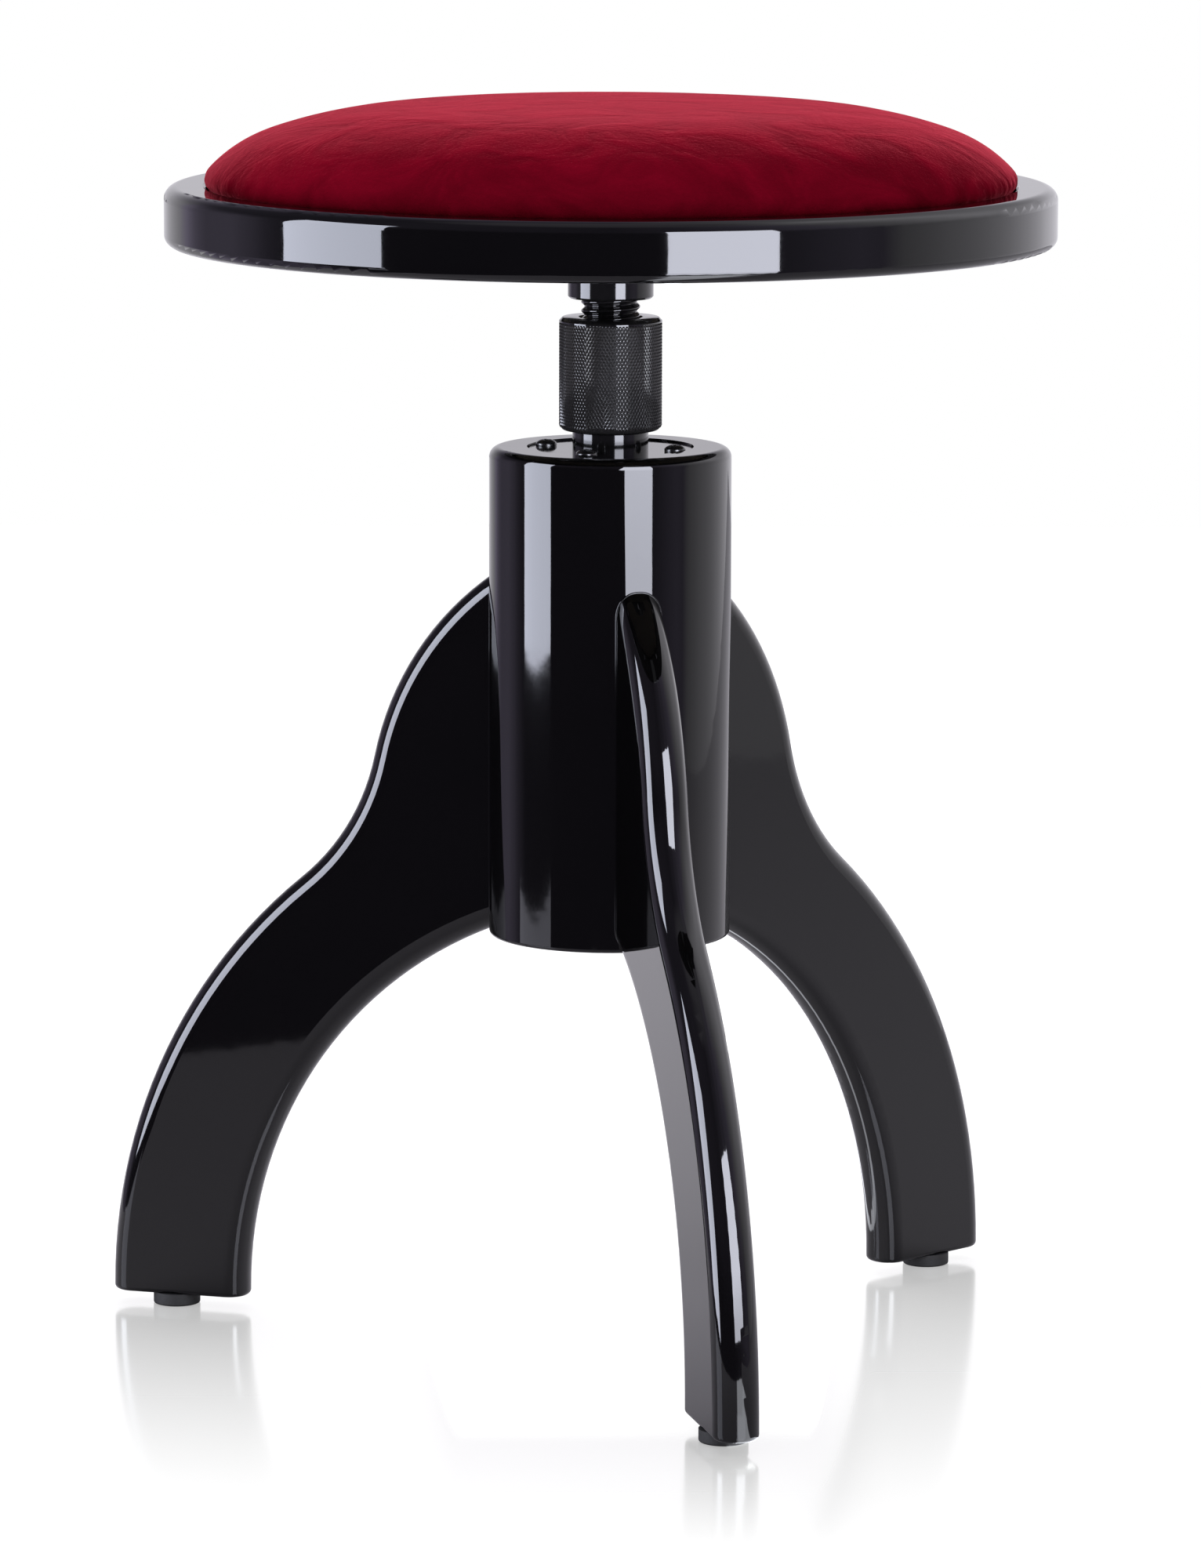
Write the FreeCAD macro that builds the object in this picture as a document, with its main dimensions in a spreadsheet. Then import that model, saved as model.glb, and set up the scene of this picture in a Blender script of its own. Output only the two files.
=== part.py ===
import FreeCAD
import Part
import Sketcher

import math
import os
from collections import namedtuple

# A height-adjustable piano stool: a round velvet seat on a threaded spindle, which screws into the neck of a
# turned column on three flat, curved legs. A knurled lock nut on the spindle clamps the chosen height.
# Millimetres, +Z up. The origin is on the floor, on the turning axis. The seat is drawn near its lowest height.

OUT = "parts"
LEG_ANGLES = {"front": -90.0, "right": 30.0, "left": 150.0}
FLANGE_SCREWS = 4
PLATE_SCREWS = 4
BOARD_SCREWS = 6
NEAR = 0.001

# Driving dimensions, one cell each.
SIZES = {
    # Column
    "floor_to_column": 163.0,
    "column_diameter": 95.6,
    "column_length": 194.5,
    "column_bore": 42.0,
    "column_top_round": 4.0,
    "column_bottom_round": 1.5,
    # Legs, seen from the side: the shoulder and shin arcs joined by the waist arc outside, and the arch inside
    "leg_thickness": 18.0,
    "leg_edge_flat": 1.0,
    "leg_end_round": 2.0,
    "leg_joint_height": 142.5,
    "shoulder_radius": 122.2,
    "shoulder_reach": 100.1,
    "waist_radius": 90.8,
    "shin_radius": 224.4,
    "shin_rise": 1.7,
    "leg_reach": 209.6,
    "leg_foot_width": 57.5,
    "arch_radius": 167.3,
    "leg_root_depth": 12.0,
    # Dowels between the column and each leg
    "dowel_diameter": 10.0,
    "dowel_in_column": 18.0,
    "dowel_in_leg": 18.0,
    "dowel_end_room": 0.5,
    "dowel_first_height": 28.0,
    "dowel_spacing": 42.0,
    # Rubber feet, each moulded onto the disc of a steel stud
    "foot_diameter": 19.0,
    "foot_height": 5.0,
    "foot_edge_round": 0.8,
    "foot_inset": 26.1,
    "stud_disc_diameter": 12.0,
    "stud_disc_thickness": 1.6,
    "stud_diameter": 5.0,
    "stud_length": 20.0,
    # Steel neck with its flange, let into the top of the column
    "flange_diameter": 65.0,
    "flange_thickness": 5.0,
    "flange_sink": 0.8,
    "flange_edge_round": 0.5,
    "recess_room": 0.4,
    "neck_diameter": 30.0,
    "neck_height": 7.1,
    "socket_diameter": 36.0,
    "socket_length": 45.7,
    "thread_room": 0.3,
    "flange_screw_circle": 54.0,
    "flange_screw_angle": 56.0,
    "flange_screw_diameter": 4.0,
    "flange_screw_length": 28.0,
    "flange_head_diameter": 8.3,
    "flange_head_height": 2.6,
    "screw_hole_room": 0.3,
    "screw_end_room": 1.0,
    # Spindle and the stop at its lower end
    "spindle_diameter": 23.3,
    "spindle_chamfer": 1.2,
    "seat_travel": 110.0,
    "stop_room": 0.5,
    "stop_play": 0.3,
    "stop_washer_diameter": 34.0,
    "stop_washer_thickness": 3.0,
    "stop_screw_diameter": 10.0,
    "stop_screw_length": 22.0,
    "stop_head_diameter": 20.0,
    "stop_head_height": 5.5,
    # Lock nut and the thrust washer in its lower end
    "nut_diameter": 40.6,
    "nut_length": 44.6,
    "nut_top_chamfer": 1.4,
    "nut_bottom_round": 2.2,
    "nut_play": 0.3,
    "thrust_washer_diameter": 31.0,
    "thrust_washer_bore": 24.8,
    "thrust_washer_thickness": 2.0,
    # Hub, its pin and the plate under the seat
    "hub_gap": 7.5,
    "hub_diameter": 33.7,
    "hub_length": 28.5,
    "hub_chamfer": 0.8,
    "spindle_top_room": 0.5,
    "pin_diameter": 5.0,
    "pin_length": 30.0,
    "pin_sink": 0.8,
    "pin_end_room": 0.3,
    "pin_height": 18.0,
    "plate_diameter": 120.0,
    "plate_thickness": 4.0,
    "plate_edge_round": 1.0,
    "plate_screw_circle": 92.0,
    "plate_screw_diameter": 4.5,
    "plate_screw_length": 11.5,
    "plate_head_diameter": 9.0,
    "plate_head_height": 2.8,
    # Wooden seat ring, with a ledge that carries the upholstered board
    "seat_diameter": 350.0,
    "ring_height": 23.0,
    "ring_wall": 16.5,
    "ring_top_round": 5.0,
    "ring_bottom_round": 4.0,
    "ring_inner_round": 1.5,
    "ledge_thickness": 10.0,
    "ledge_width": 28.5,
    "board_thickness": 9.0,
    "board_room": 0.1,
    "board_screw_inset": 5.5,
    "board_screw_diameter": 4.0,
    "board_screw_length": 18.0,
    "board_head_diameter": 8.0,
    "board_head_height": 2.2,
    # Cushion: crown, brow and cheek arcs from the middle outwards, and a small arc that tucks the side in
    "cushion_play": 1.2,
    "cover_thickness": 1.2,
    "cover_hem": 16.3,
    "foam_room": 0.2,
    "crown_rise": 32.0,
    "crown_slope": 1.97,
    "brow_radius": 178.0,
    "brow_slope": 18.7,
    "cheek_radius": 56.3,
    "cheek_slope": 47.5,
    "tuck_radius": 5.0,
    "side_bulge": 2.1,
}


def layer_places(layer, inset):
    """Radii and junctions of one layer of the cushion, an inset inside the outer face of the cover."""
    return {
        f"{layer}_top": f"crown_top - {inset}",
        f"{layer}_wall": f"cover_side - {inset}",
        f"{layer}_crown_radius": f"crown_radius - {inset}",
        f"{layer}_brow_radius": f"Sizes.brow_radius - {inset}",
        f"{layer}_cheek_radius": f"Sizes.cheek_radius - {inset}",
        f"{layer}_tuck_radius": f"Sizes.tuck_radius - {inset}",
        f"{layer}_brow_x": f"brow_x + {layer}_brow_radius * sin(Sizes.crown_slope)",
        f"{layer}_brow_z": f"brow_z + {layer}_brow_radius * cos(Sizes.crown_slope)",
        f"{layer}_cheek_x": f"cheek_x + {layer}_cheek_radius * sin(Sizes.brow_slope)",
        f"{layer}_cheek_z": f"cheek_z + {layer}_cheek_radius * cos(Sizes.brow_slope)",
        f"{layer}_tuck_x": f"tuck_x + {layer}_tuck_radius * sin(Sizes.cheek_slope)",
        f"{layer}_tuck_z": f"tuck_z + {layer}_tuck_radius * cos(Sizes.cheek_slope)",
        f"{layer}_side_top": f"tuck_z - sqrt({layer}_tuck_radius ^ 2 - ({layer}_wall - tuck_x) ^ 2)",
    }


# Heights and radii that follow from the driving dimensions, in the order in which they are worked out.
PLACES = {
    # Column
    "column_radius": "Sizes.column_diameter / 2",
    "bore_radius": "Sizes.column_bore / 2",
    "column_bottom": "Sizes.floor_to_column",
    "column_top": "column_bottom + Sizes.column_length",
    "flange_top": "column_top - Sizes.flange_sink",
    "recess_floor": "flange_top - Sizes.flange_thickness",
    "flange_radius": "Sizes.flange_diameter / 2",
    "recess_radius": "flange_radius + Sizes.recess_room",
    # Leg: the waist circle touches the shoulder and shin circles from outside
    "leg_bottom": "Sizes.foot_height",
    "leg_side": "Sizes.leg_thickness / 2",
    "leg_edge_round": "(Sizes.leg_thickness - Sizes.leg_edge_flat) / 2",
    "leg_root": "column_radius - Sizes.leg_root_depth",
    "leg_top": "column_bottom + Sizes.leg_joint_height",
    "shoulder_x": "Sizes.shoulder_reach - Sizes.shoulder_radius",
    "shoulder_z": "leg_top - sqrt(Sizes.shoulder_radius ^ 2 - (column_radius - shoulder_x) ^ 2)",
    "shin_x": "Sizes.leg_reach - Sizes.shin_radius",
    "shin_z": "leg_bottom + Sizes.shin_rise",
    "centres_apart": "sqrt((shin_x - shoulder_x) ^ 2 + (shin_z - shoulder_z) ^ 2)",
    "waist_to_shoulder": "Sizes.waist_radius + Sizes.shoulder_radius",
    "waist_to_shin": "Sizes.waist_radius + Sizes.shin_radius",
    "waist_along": "(waist_to_shoulder ^ 2 - waist_to_shin ^ 2 + centres_apart ^ 2) / (2 * centres_apart)",
    "waist_aside": "sqrt(waist_to_shoulder ^ 2 - waist_along ^ 2)",
    "waist_x": "shoulder_x + (waist_along * (shin_x - shoulder_x) - waist_aside * (shin_z - shoulder_z))"
               " / centres_apart",
    "waist_z": "shoulder_z + (waist_along * (shin_z - shoulder_z) + waist_aside * (shin_x - shoulder_x))"
               " / centres_apart",
    "shoulder_end_x": "shoulder_x + (waist_x - shoulder_x) * Sizes.shoulder_radius / waist_to_shoulder",
    "shoulder_end_z": "shoulder_z + (waist_z - shoulder_z) * Sizes.shoulder_radius / waist_to_shoulder",
    "shin_start_x": "shin_x + (waist_x - shin_x) * Sizes.shin_radius / waist_to_shin",
    "shin_start_z": "shin_z + (waist_z - shin_z) * Sizes.shin_radius / waist_to_shin",
    "toe_x": "shin_x + sqrt(Sizes.shin_radius ^ 2 - (leg_bottom - shin_z) ^ 2)",
    "root_top": "shoulder_z + sqrt(Sizes.shoulder_radius ^ 2 - (leg_root - shoulder_x) ^ 2)",
    "arch_x": "Sizes.leg_reach - Sizes.leg_foot_width - Sizes.arch_radius",
    "arch_z": "column_bottom - sqrt(Sizes.arch_radius ^ 2 - (column_radius - arch_x) ^ 2)",
    "heel_x": "arch_x + sqrt(Sizes.arch_radius ^ 2 - (leg_bottom - arch_z) ^ 2)",
    "root_bottom": "arch_z + sqrt(Sizes.arch_radius ^ 2 - (leg_root - arch_x) ^ 2)",
    # Dowels
    "dowel_radius": "Sizes.dowel_diameter / 2",
    "dowel_low": "column_bottom + Sizes.dowel_first_height",
    "dowel_middle": "dowel_low + Sizes.dowel_spacing",
    "dowel_high": "dowel_middle + Sizes.dowel_spacing",
    "dowel_end": "column_radius + Sizes.dowel_in_leg",
    "dowel_length": "Sizes.dowel_in_column + Sizes.dowel_in_leg",
    "dowel_hole_end": "dowel_end + Sizes.dowel_end_room",
    "dowel_hole_length": "dowel_length + 2 * Sizes.dowel_end_room",
    # Feet
    "foot_radius": "Sizes.foot_diameter / 2",
    "foot_x": "Sizes.leg_reach - Sizes.foot_inset",
    "disc_radius": "Sizes.stud_disc_diameter / 2",
    "disc_bottom": "leg_bottom - Sizes.stud_disc_thickness",
    "stud_radius": "Sizes.stud_diameter / 2",
    "stud_top": "leg_bottom + Sizes.stud_length",
    "stud_hole_top": "stud_top + Sizes.screw_end_room",
    # Neck
    "neck_radius": "Sizes.neck_diameter / 2",
    "neck_top": "flange_top + Sizes.neck_height",
    "socket_radius": "Sizes.socket_diameter / 2",
    "socket_bottom": "recess_floor - Sizes.socket_length",
    "spindle_radius": "Sizes.spindle_diameter / 2",
    "thread_bore": "spindle_radius + Sizes.thread_room",
    "flange_screw_x": "Sizes.flange_screw_circle / 2",
    "flange_screw_radius": "Sizes.flange_screw_diameter / 2",
    "flange_hole_radius": "flange_screw_radius + Sizes.screw_hole_room",
    "flange_screw_tip": "flange_top - Sizes.flange_screw_length",
    "pilot_x": "flange_screw_x * cos(Sizes.flange_screw_angle)",
    "pilot_y": "flange_screw_x * sin(Sizes.flange_screw_angle)",
    "pilot_depth": "recess_floor - flange_screw_tip + Sizes.screw_end_room",
    "flange_head_radius": "Sizes.flange_head_diameter / 2",
    "flange_head_top": "flange_top + Sizes.flange_head_height",
    "flange_head_dome": "(flange_head_radius ^ 2 / Sizes.flange_head_height + Sizes.flange_head_height) / 2",
    # Stop under the spindle
    "stop_washer_radius": "Sizes.stop_washer_diameter / 2",
    "stop_washer_top": "socket_bottom - Sizes.seat_travel - Sizes.stop_room",
    "stop_washer_bottom": "stop_washer_top - Sizes.stop_washer_thickness",
    "stop_screw_radius": "Sizes.stop_screw_diameter / 2",
    "stop_washer_hole": "stop_screw_radius + Sizes.stop_play",
    "stop_head_radius": "Sizes.stop_head_diameter / 2",
    "stop_head_top": "stop_washer_bottom - Sizes.stop_play",
    "stop_head_bottom": "stop_head_top - Sizes.stop_head_height",
    "stop_screw_tip": "stop_head_top + Sizes.stop_screw_length",
    "stop_hole_end": "stop_screw_tip + Sizes.screw_end_room",
    "spindle_bottom": "stop_washer_top + Sizes.stop_play",
    # Lock nut
    "nut_radius": "Sizes.nut_diameter / 2",
    "nut_bottom": "neck_top + Sizes.nut_play",
    "nut_top": "nut_bottom + Sizes.nut_length",
    "thrust_washer_radius": "Sizes.thrust_washer_diameter / 2",
    "thrust_washer_hole": "Sizes.thrust_washer_bore / 2",
    "thrust_washer_top": "nut_bottom + Sizes.thrust_washer_thickness",
    "nut_pocket_radius": "thrust_washer_radius + Sizes.nut_play",
    "nut_pocket_top": "thrust_washer_top + Sizes.nut_play",
    # Hub, pin and plate
    "hub_radius": "Sizes.hub_diameter / 2",
    "hub_bottom": "nut_top + Sizes.hub_gap",
    "hub_top": "hub_bottom + Sizes.hub_length",
    "spindle_top": "hub_top - Sizes.spindle_top_room",
    "pin_radius": "Sizes.pin_diameter / 2",
    "pin_z": "hub_bottom + Sizes.pin_height",
    "pin_front": "Sizes.pin_length + Sizes.pin_sink - hub_radius",
    "pin_hole_front": "pin_front + Sizes.pin_end_room",
    "pin_hole_length": "pin_hole_front + hub_radius",
    "plate_radius": "Sizes.plate_diameter / 2",
    "plate_top": "hub_top + Sizes.plate_thickness",
    "plate_screw_x": "Sizes.plate_screw_circle / 2",
    "plate_screw_radius": "Sizes.plate_screw_diameter / 2",
    "plate_hole_radius": "plate_screw_radius + Sizes.screw_hole_room",
    "plate_head_radius": "Sizes.plate_head_diameter / 2",
    "plate_head_bottom": "hub_top - Sizes.plate_head_height",
    "plate_head_dome": "(plate_head_radius ^ 2 / Sizes.plate_head_height + Sizes.plate_head_height) / 2",
    "plate_screw_tip": "hub_top + Sizes.plate_screw_length",
    "plate_screw_hole_end": "plate_screw_tip + Sizes.screw_end_room",
    # Seat ring and board: the cover's hem lies between the ledge and the board
    "seat_radius": "Sizes.seat_diameter / 2",
    "ledge_top": "plate_top - Sizes.cover_thickness",
    "ring_bottom": "ledge_top - Sizes.ledge_thickness",
    "ring_top": "ring_bottom + Sizes.ring_height",
    "ring_inner": "seat_radius - Sizes.ring_wall",
    "ledge_inner": "ring_inner - Sizes.ledge_width",
    "board_top": "plate_top + Sizes.board_thickness",
    "board_screw_x": "ledge_inner + Sizes.board_screw_inset",
    "board_screw_radius": "Sizes.board_screw_diameter / 2",
    "board_hole_radius": "board_screw_radius + Sizes.screw_hole_room",
    "board_head_radius": "Sizes.board_head_diameter / 2",
    "board_head_top": "ring_bottom + Sizes.board_head_height",
    "board_screw_tip": "ring_bottom + Sizes.board_screw_length",
    "board_screw_hole_end": "board_screw_tip + Sizes.screw_end_room",
    # Cushion: centres of the arcs, from the side of the cover inwards
    "cover_side": "ring_inner - Sizes.cushion_play",
    "hem_inner": "cover_side - Sizes.cover_hem",
    "board_radius": "cover_side - Sizes.cover_thickness - Sizes.board_room",
    "tuck_x": "cover_side + Sizes.side_bulge - Sizes.tuck_radius",
    "cheek_x": "tuck_x - (Sizes.cheek_radius - Sizes.tuck_radius) * sin(Sizes.cheek_slope)",
    "brow_x": "cheek_x - (Sizes.brow_radius - Sizes.cheek_radius) * sin(Sizes.brow_slope)",
    "crown_radius": "Sizes.brow_radius + brow_x / sin(Sizes.crown_slope)",
    "crown_top": "ring_top + Sizes.crown_rise",
    "brow_z": "crown_top - crown_radius + (crown_radius - Sizes.brow_radius) * cos(Sizes.crown_slope)",
    "cheek_z": "brow_z + (Sizes.brow_radius - Sizes.cheek_radius) * cos(Sizes.brow_slope)",
    "tuck_z": "cheek_z + (Sizes.cheek_radius - Sizes.tuck_radius) * cos(Sizes.cheek_slope)",
    "foam_inset": "Sizes.cover_thickness + Sizes.foam_room",
    **layer_places("cover", "0"),
    **layer_places("lining", "Sizes.cover_thickness"),
    **layer_places("foam", "foam_inset"),
}

doc = FreeCAD.newDocument("PianoStool")


def fill_sheet(name, cells):
    """Each row holds an alias in column A and what the alias stands for in column B."""
    sheet = doc.addObject("Spreadsheet::Sheet", name)
    for row, (alias, content) in enumerate(cells.items(), start=1):
        sheet.set(f"A{row}", alias)
        sheet.set(f"B{row}", content)
        sheet.setAlias(f"B{row}", alias)
    doc.recompute()
    return sheet


sizes = fill_sheet("Sizes", {alias: str(size) for alias, size in SIZES.items()})
places = fill_sheet("Places", {alias: f"={formula}" for alias, formula in PLACES.items()})


def cell(name):
    """The cell that a name stands for: a place, or else a driving dimension."""
    return f"Places.{name}" if name in PLACES else f"Sizes.{name}"


def value(name):
    """The number in that cell. The axis and the floor are the zeros of the two directions."""
    if name in ("axis", "floor"):
        return 0.0
    sheet = places if name in PLACES else sizes
    return float(sheet.get(name))


# A corner of an outline, as two names. Where the way to it is an arc, radius names the arc's radius,
# and turn is 1 where that arc turns left and -1 where it turns right.
Corner = namedtuple("Corner", "x z radius turn", defaults=(None, 0))


def arc_between(start, end, radius, turn):
    """The arc from start to end, and the number of its end that lies at start."""
    chord = end - start
    to_centre = math.sqrt(radius ** 2 - (chord.Length / 2) ** 2) * turn
    centre = (start + end) / 2 + FreeCAD.Vector(-chord.y, chord.x, 0) / chord.Length * to_centre
    first, last = (start, end) if turn > 0 else (end, start)
    first_angle = math.atan2(first.y - centre.y, first.x - centre.x)
    last_angle = math.atan2(last.y - centre.y, last.x - centre.x)
    if last_angle < first_angle:
        last_angle += 2 * math.pi
    circle = Part.Circle(centre, FreeCAD.Vector(0, 0, 1), radius)
    return Part.ArcOfCircle(circle, first_angle, last_angle), 1 if turn > 0 else 2


def bind(sketch, kind, *arguments, name):
    """Adds a dimension to the sketch and ties it to a cell."""
    index = sketch.addConstraint(Sketcher.Constraint(kind, *arguments, value(name)))
    sketch.setExpression(f"Constraints[{index}]", cell(name))


def hold_point(sketch, piece, end, x_name, z_name):
    """Ties one end of a line or arc, or a circle's centre, to two cells."""
    if x_name == "axis":
        sketch.addConstraint(Sketcher.Constraint("PointOnObject", piece, end, -2))
    else:
        bind(sketch, "DistanceX", -1, 1, piece, end, name=x_name)
    if z_name == "floor":
        sketch.addConstraint(Sketcher.Constraint("PointOnObject", piece, end, -1))
    else:
        bind(sketch, "DistanceY", -1, 1, piece, end, name=z_name)


def draw(sketch, corners):
    """A closed loop of lines and arcs through the corners."""
    ends = []
    for number, corner in enumerate(corners):
        before = corners[number - 1]
        start = FreeCAD.Vector(value(before.x), value(before.z), 0)
        end = FreeCAD.Vector(value(corner.x), value(corner.z), 0)
        if corner.radius:
            piece, first = arc_between(start, end, value(corner.radius), corner.turn)
        else:
            piece, first = Part.LineSegment(start, end), 1
        sketch.addGeometry(piece, False)
        hold_point(sketch, number, 3 - first, corner.x, corner.z)
        if corner.radius:
            bind(sketch, "Radius", number, name=corner.radius)
        ends.append((first, 3 - first))
    for number, (first, last) in enumerate(ends):
        before = len(ends) - 1 if number == 0 else number - 1
        sketch.addConstraint(Sketcher.Constraint("Coincident", before, ends[before][1], number, first))


def draw_circles(sketch, spots, radius_name):
    """Equal circles, each with its centre at a spot of two names."""
    for number, (x_name, y_name) in enumerate(spots):
        centre = FreeCAD.Vector(value(x_name), value(y_name), 0)
        sketch.addGeometry(Part.Circle(centre, FreeCAD.Vector(0, 0, 1), value(radius_name)), False)
        hold_point(sketch, number, 3, x_name, y_name)
        bind(sketch, "Radius", number, name=radius_name)


def new_body(label, angle=0.0):
    """An empty body, turned about the stool's axis by an angle."""
    body = doc.addObject("PartDesign::Body", label)
    body.Label = label
    body.Placement.Rotation = FreeCAD.Rotation(FreeCAD.Vector(0, 0, 1), angle)
    return body


def origin_item(body, role):
    return next(item for item in body.Origin.OriginFeatures if item.Role == role)


def new_sketch(body, name, plane="XZ_Plane", **offset):
    """A sketch on one of the body's origin planes, moved in the plane's own directions by named cells."""
    sketch = body.newObject("Sketcher::SketchObject", f"{body.Label}_{name}")
    sketch.AttachmentSupport = [(origin_item(body, plane), "")]
    sketch.MapMode = "FlatFace"
    for direction, cell_name in offset.items():
        sketch.setExpression(f"AttachmentOffset.Base.{direction}", cell(cell_name))
    return sketch


def finish(body, feature, cuts=False):
    """Recomputes with the feature as the body's tip. A cut that takes nothing away is a mistake."""
    volume = body.Shape.Volume if cuts else 0.0
    body.Tip = feature
    doc.recompute()
    if cuts and feature.Shape.Volume > volume - NEAR:
        raise RuntimeError(f"{feature.Name} cuts nothing")
    return feature


def turn(body, name, corners, kind="Revolution", centre=None):
    """A profile turned about the stool's axis, or about an upright axis at a named distance from it."""
    offset = {"x": centre} if centre else {}
    sketch = new_sketch(body, f"{name}_profile", **offset)
    draw(sketch, corners)
    feature = body.newObject(f"PartDesign::{kind}", f"{body.Label}_{name}")
    feature.Profile = sketch
    feature.ReferenceAxis = (sketch, ["V_Axis"])
    feature.Angle = 360
    return finish(body, feature, cuts=kind == "Groove")


def drill(body, name, centre, corners, count):
    """Upright holes in a ring about the stool's axis, each the profile of one hole turned about its own axis."""
    groove = turn(body, name, corners, "Groove", centre)
    return ring_of(body, groove, count) if count > 1 else groove


def ring_of(body, feature, count):
    """Repeats a feature evenly about the stool's axis."""
    pattern = body.newObject("PartDesign::PolarPattern", f"{feature.Name}_ring")
    pattern.Originals = [feature]
    pattern.Axis = (origin_item(body, "Z_Axis"), [""])
    pattern.Angle = 360
    pattern.Occurrences = count
    return finish(body, pattern)


def push(body, kind, name, sketch, length_name, reverse=False, symmetric=False):
    """A pad or a pocket whose length is a named cell."""
    feature = body.newObject(f"PartDesign::{kind}", f"{body.Label}_{name}")
    feature.Profile = sketch
    feature.setExpression("Length", cell(length_name))
    feature.Reversed = reverse
    feature.SideType = "Symmetric" if symmetric else "One side"
    return finish(body, feature, cuts=kind == "Pocket")


def circles_at(shape, spots):
    """The names of the level circular edges with these radii and heights."""
    found = []
    for number, edge in enumerate(shape.Edges, start=1):
        curve = edge.Curve
        if not isinstance(curve, Part.Circle):
            continue
        for radius_name, height_name in spots:
            at_radius = abs(curve.Radius - value(radius_name)) < NEAR
            on_axis = math.hypot(curve.Center.x, curve.Center.y) < NEAR
            if at_radius and on_axis and abs(curve.Center.z - value(height_name)) < NEAR:
                found.append(f"Edge{number}")
    return found


def edges_where(shape, test):
    """The names of the edges that pass a test."""
    return [f"Edge{number}" for number, edge in enumerate(shape.Edges, start=1) if test(edge)]


def ease(body, kind, size_name, edges):
    """A fillet or a chamfer of a named size on some edges of the body's tip."""
    base = body.Tip
    feature = body.newObject(f"PartDesign::{kind}", f"{body.Label}_{kind.lower()}")
    feature.Base = (base, edges)
    feature.setExpression("Radius" if kind == "Fillet" else "Size", cell(size_name))
    return finish(body, feature)


def ease_circles(body, kind, size_name, *spots):
    return ease(body, kind, size_name, circles_at(body.Tip.Shape, spots))


def box_corners(inner, outer, bottom, top):
    """The four corners of a plain section."""
    return [Corner(inner, bottom), Corner(outer, bottom), Corner(outer, top), Corner(inner, top)]


DOWEL_SPOTS = [("axis", "dowel_low"), ("axis", "dowel_middle"), ("axis", "dowel_high")]


def dowel_sketch(body, name, plane, outer_end):
    """The circles of one leg's dowels, on a plane that faces outwards at the outer end of the dowels."""
    sketch = new_sketch(body, name, plane, z=outer_end)
    draw_circles(sketch, DOWEL_SPOTS, "dowel_radius")
    return sketch


def make_column():
    column = new_body("column")
    turn(column, "wood", [
        Corner("bore_radius", "column_bottom"),
        Corner("column_radius", "column_bottom"),
        Corner("column_radius", "column_top"),
        Corner("recess_radius", "column_top"),
        Corner("recess_radius", "recess_floor"),
        Corner("bore_radius", "recess_floor"),
    ])
    ease_circles(column, "Fillet", "column_top_round", ("column_radius", "column_top"))
    ease_circles(column, "Fillet", "column_bottom_round", ("column_radius", "column_bottom"),
                 ("bore_radius", "column_bottom"))
    front_circles = dowel_sketch(column, "dowel_circles", "XZ_Plane", "dowel_hole_end")
    front_holes = push(column, "Pocket", "dowel_holes", front_circles, "dowel_hole_length")
    ring_of(column, front_holes, len(LEG_ANGLES))
    pilot_circle = new_sketch(column, "pilot_circle", "XY_Plane", z="recess_floor")
    draw_circles(pilot_circle, [("pilot_x", "pilot_y")], "flange_screw_radius")
    pilot_hole = push(column, "Pocket", "pilot_hole", pilot_circle, "pilot_depth")
    ring_of(column, pilot_hole, FLANGE_SCREWS)
    return column


def make_leg(side, angle):
    """A flat leg cut from board. It is drawn along X and turned to its place."""
    leg = new_body(f"leg_{side}", angle)
    outline = new_sketch(leg, "outline")
    draw(outline, [
        Corner("leg_root", "root_top"),
        Corner("shoulder_end_x", "shoulder_end_z", "shoulder_radius", -1),
        Corner("shin_start_x", "shin_start_z", "waist_radius", 1),
        Corner("toe_x", "leg_bottom", "shin_radius", -1),
        Corner("heel_x", "leg_bottom"),
        Corner("leg_root", "root_bottom", "arch_radius", 1),
    ])
    push(leg, "Pad", "board", outline, "leg_thickness", symmetric=True)
    ease(leg, "Fillet", "leg_edge_round", edges_where(leg.Tip.Shape, is_leg_outline))
    ease(leg, "Fillet", "leg_end_round", edges_where(leg.Tip.Shape, is_leg_end))
    column_circle = new_sketch(leg, "column_circle", "XY_Plane", z="column_top")
    draw_circles(column_circle, [("axis", "floor")], "column_radius")
    push(leg, "Pocket", "cope", column_circle, "column_top")
    dowel_circles = dowel_sketch(leg, "dowel_circles", "YZ_Plane", "dowel_hole_end")
    push(leg, "Pocket", "dowel_holes", dowel_circles, "dowel_hole_length")
    turn(leg, "stud_hole", box_corners("axis", "stud_radius", "leg_bottom", "stud_hole_top"), "Groove", "foot_x")
    return leg


def is_leg_outline(edge):
    """The long edges of both flat sides. The cope takes away those at the root."""
    on_side = all(abs(abs(vertex.Y) - value("leg_side")) < NEAR for vertex in edge.Vertexes)
    across = abs(edge.Vertexes[0].Y - edge.Vertexes[-1].Y) > NEAR
    at_root = all(abs(vertex.X - value("leg_root")) < NEAR for vertex in edge.Vertexes)
    return on_side and not across and not at_root and not is_leg_end(edge)


def is_leg_end(edge):
    """The edges around the lower end, which is cut flat."""
    return all(abs(vertex.Z - value("leg_bottom")) < NEAR for vertex in edge.Vertexes)


def make_leg_dowels():
    dowels = new_body("leg_dowels")
    circles = dowel_sketch(dowels, "circles", "XZ_Plane", "dowel_end")
    front = push(dowels, "Pad", "front", circles, "dowel_length", reverse=True)
    ring_of(dowels, front, len(LEG_ANGLES))
    return dowels


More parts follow.
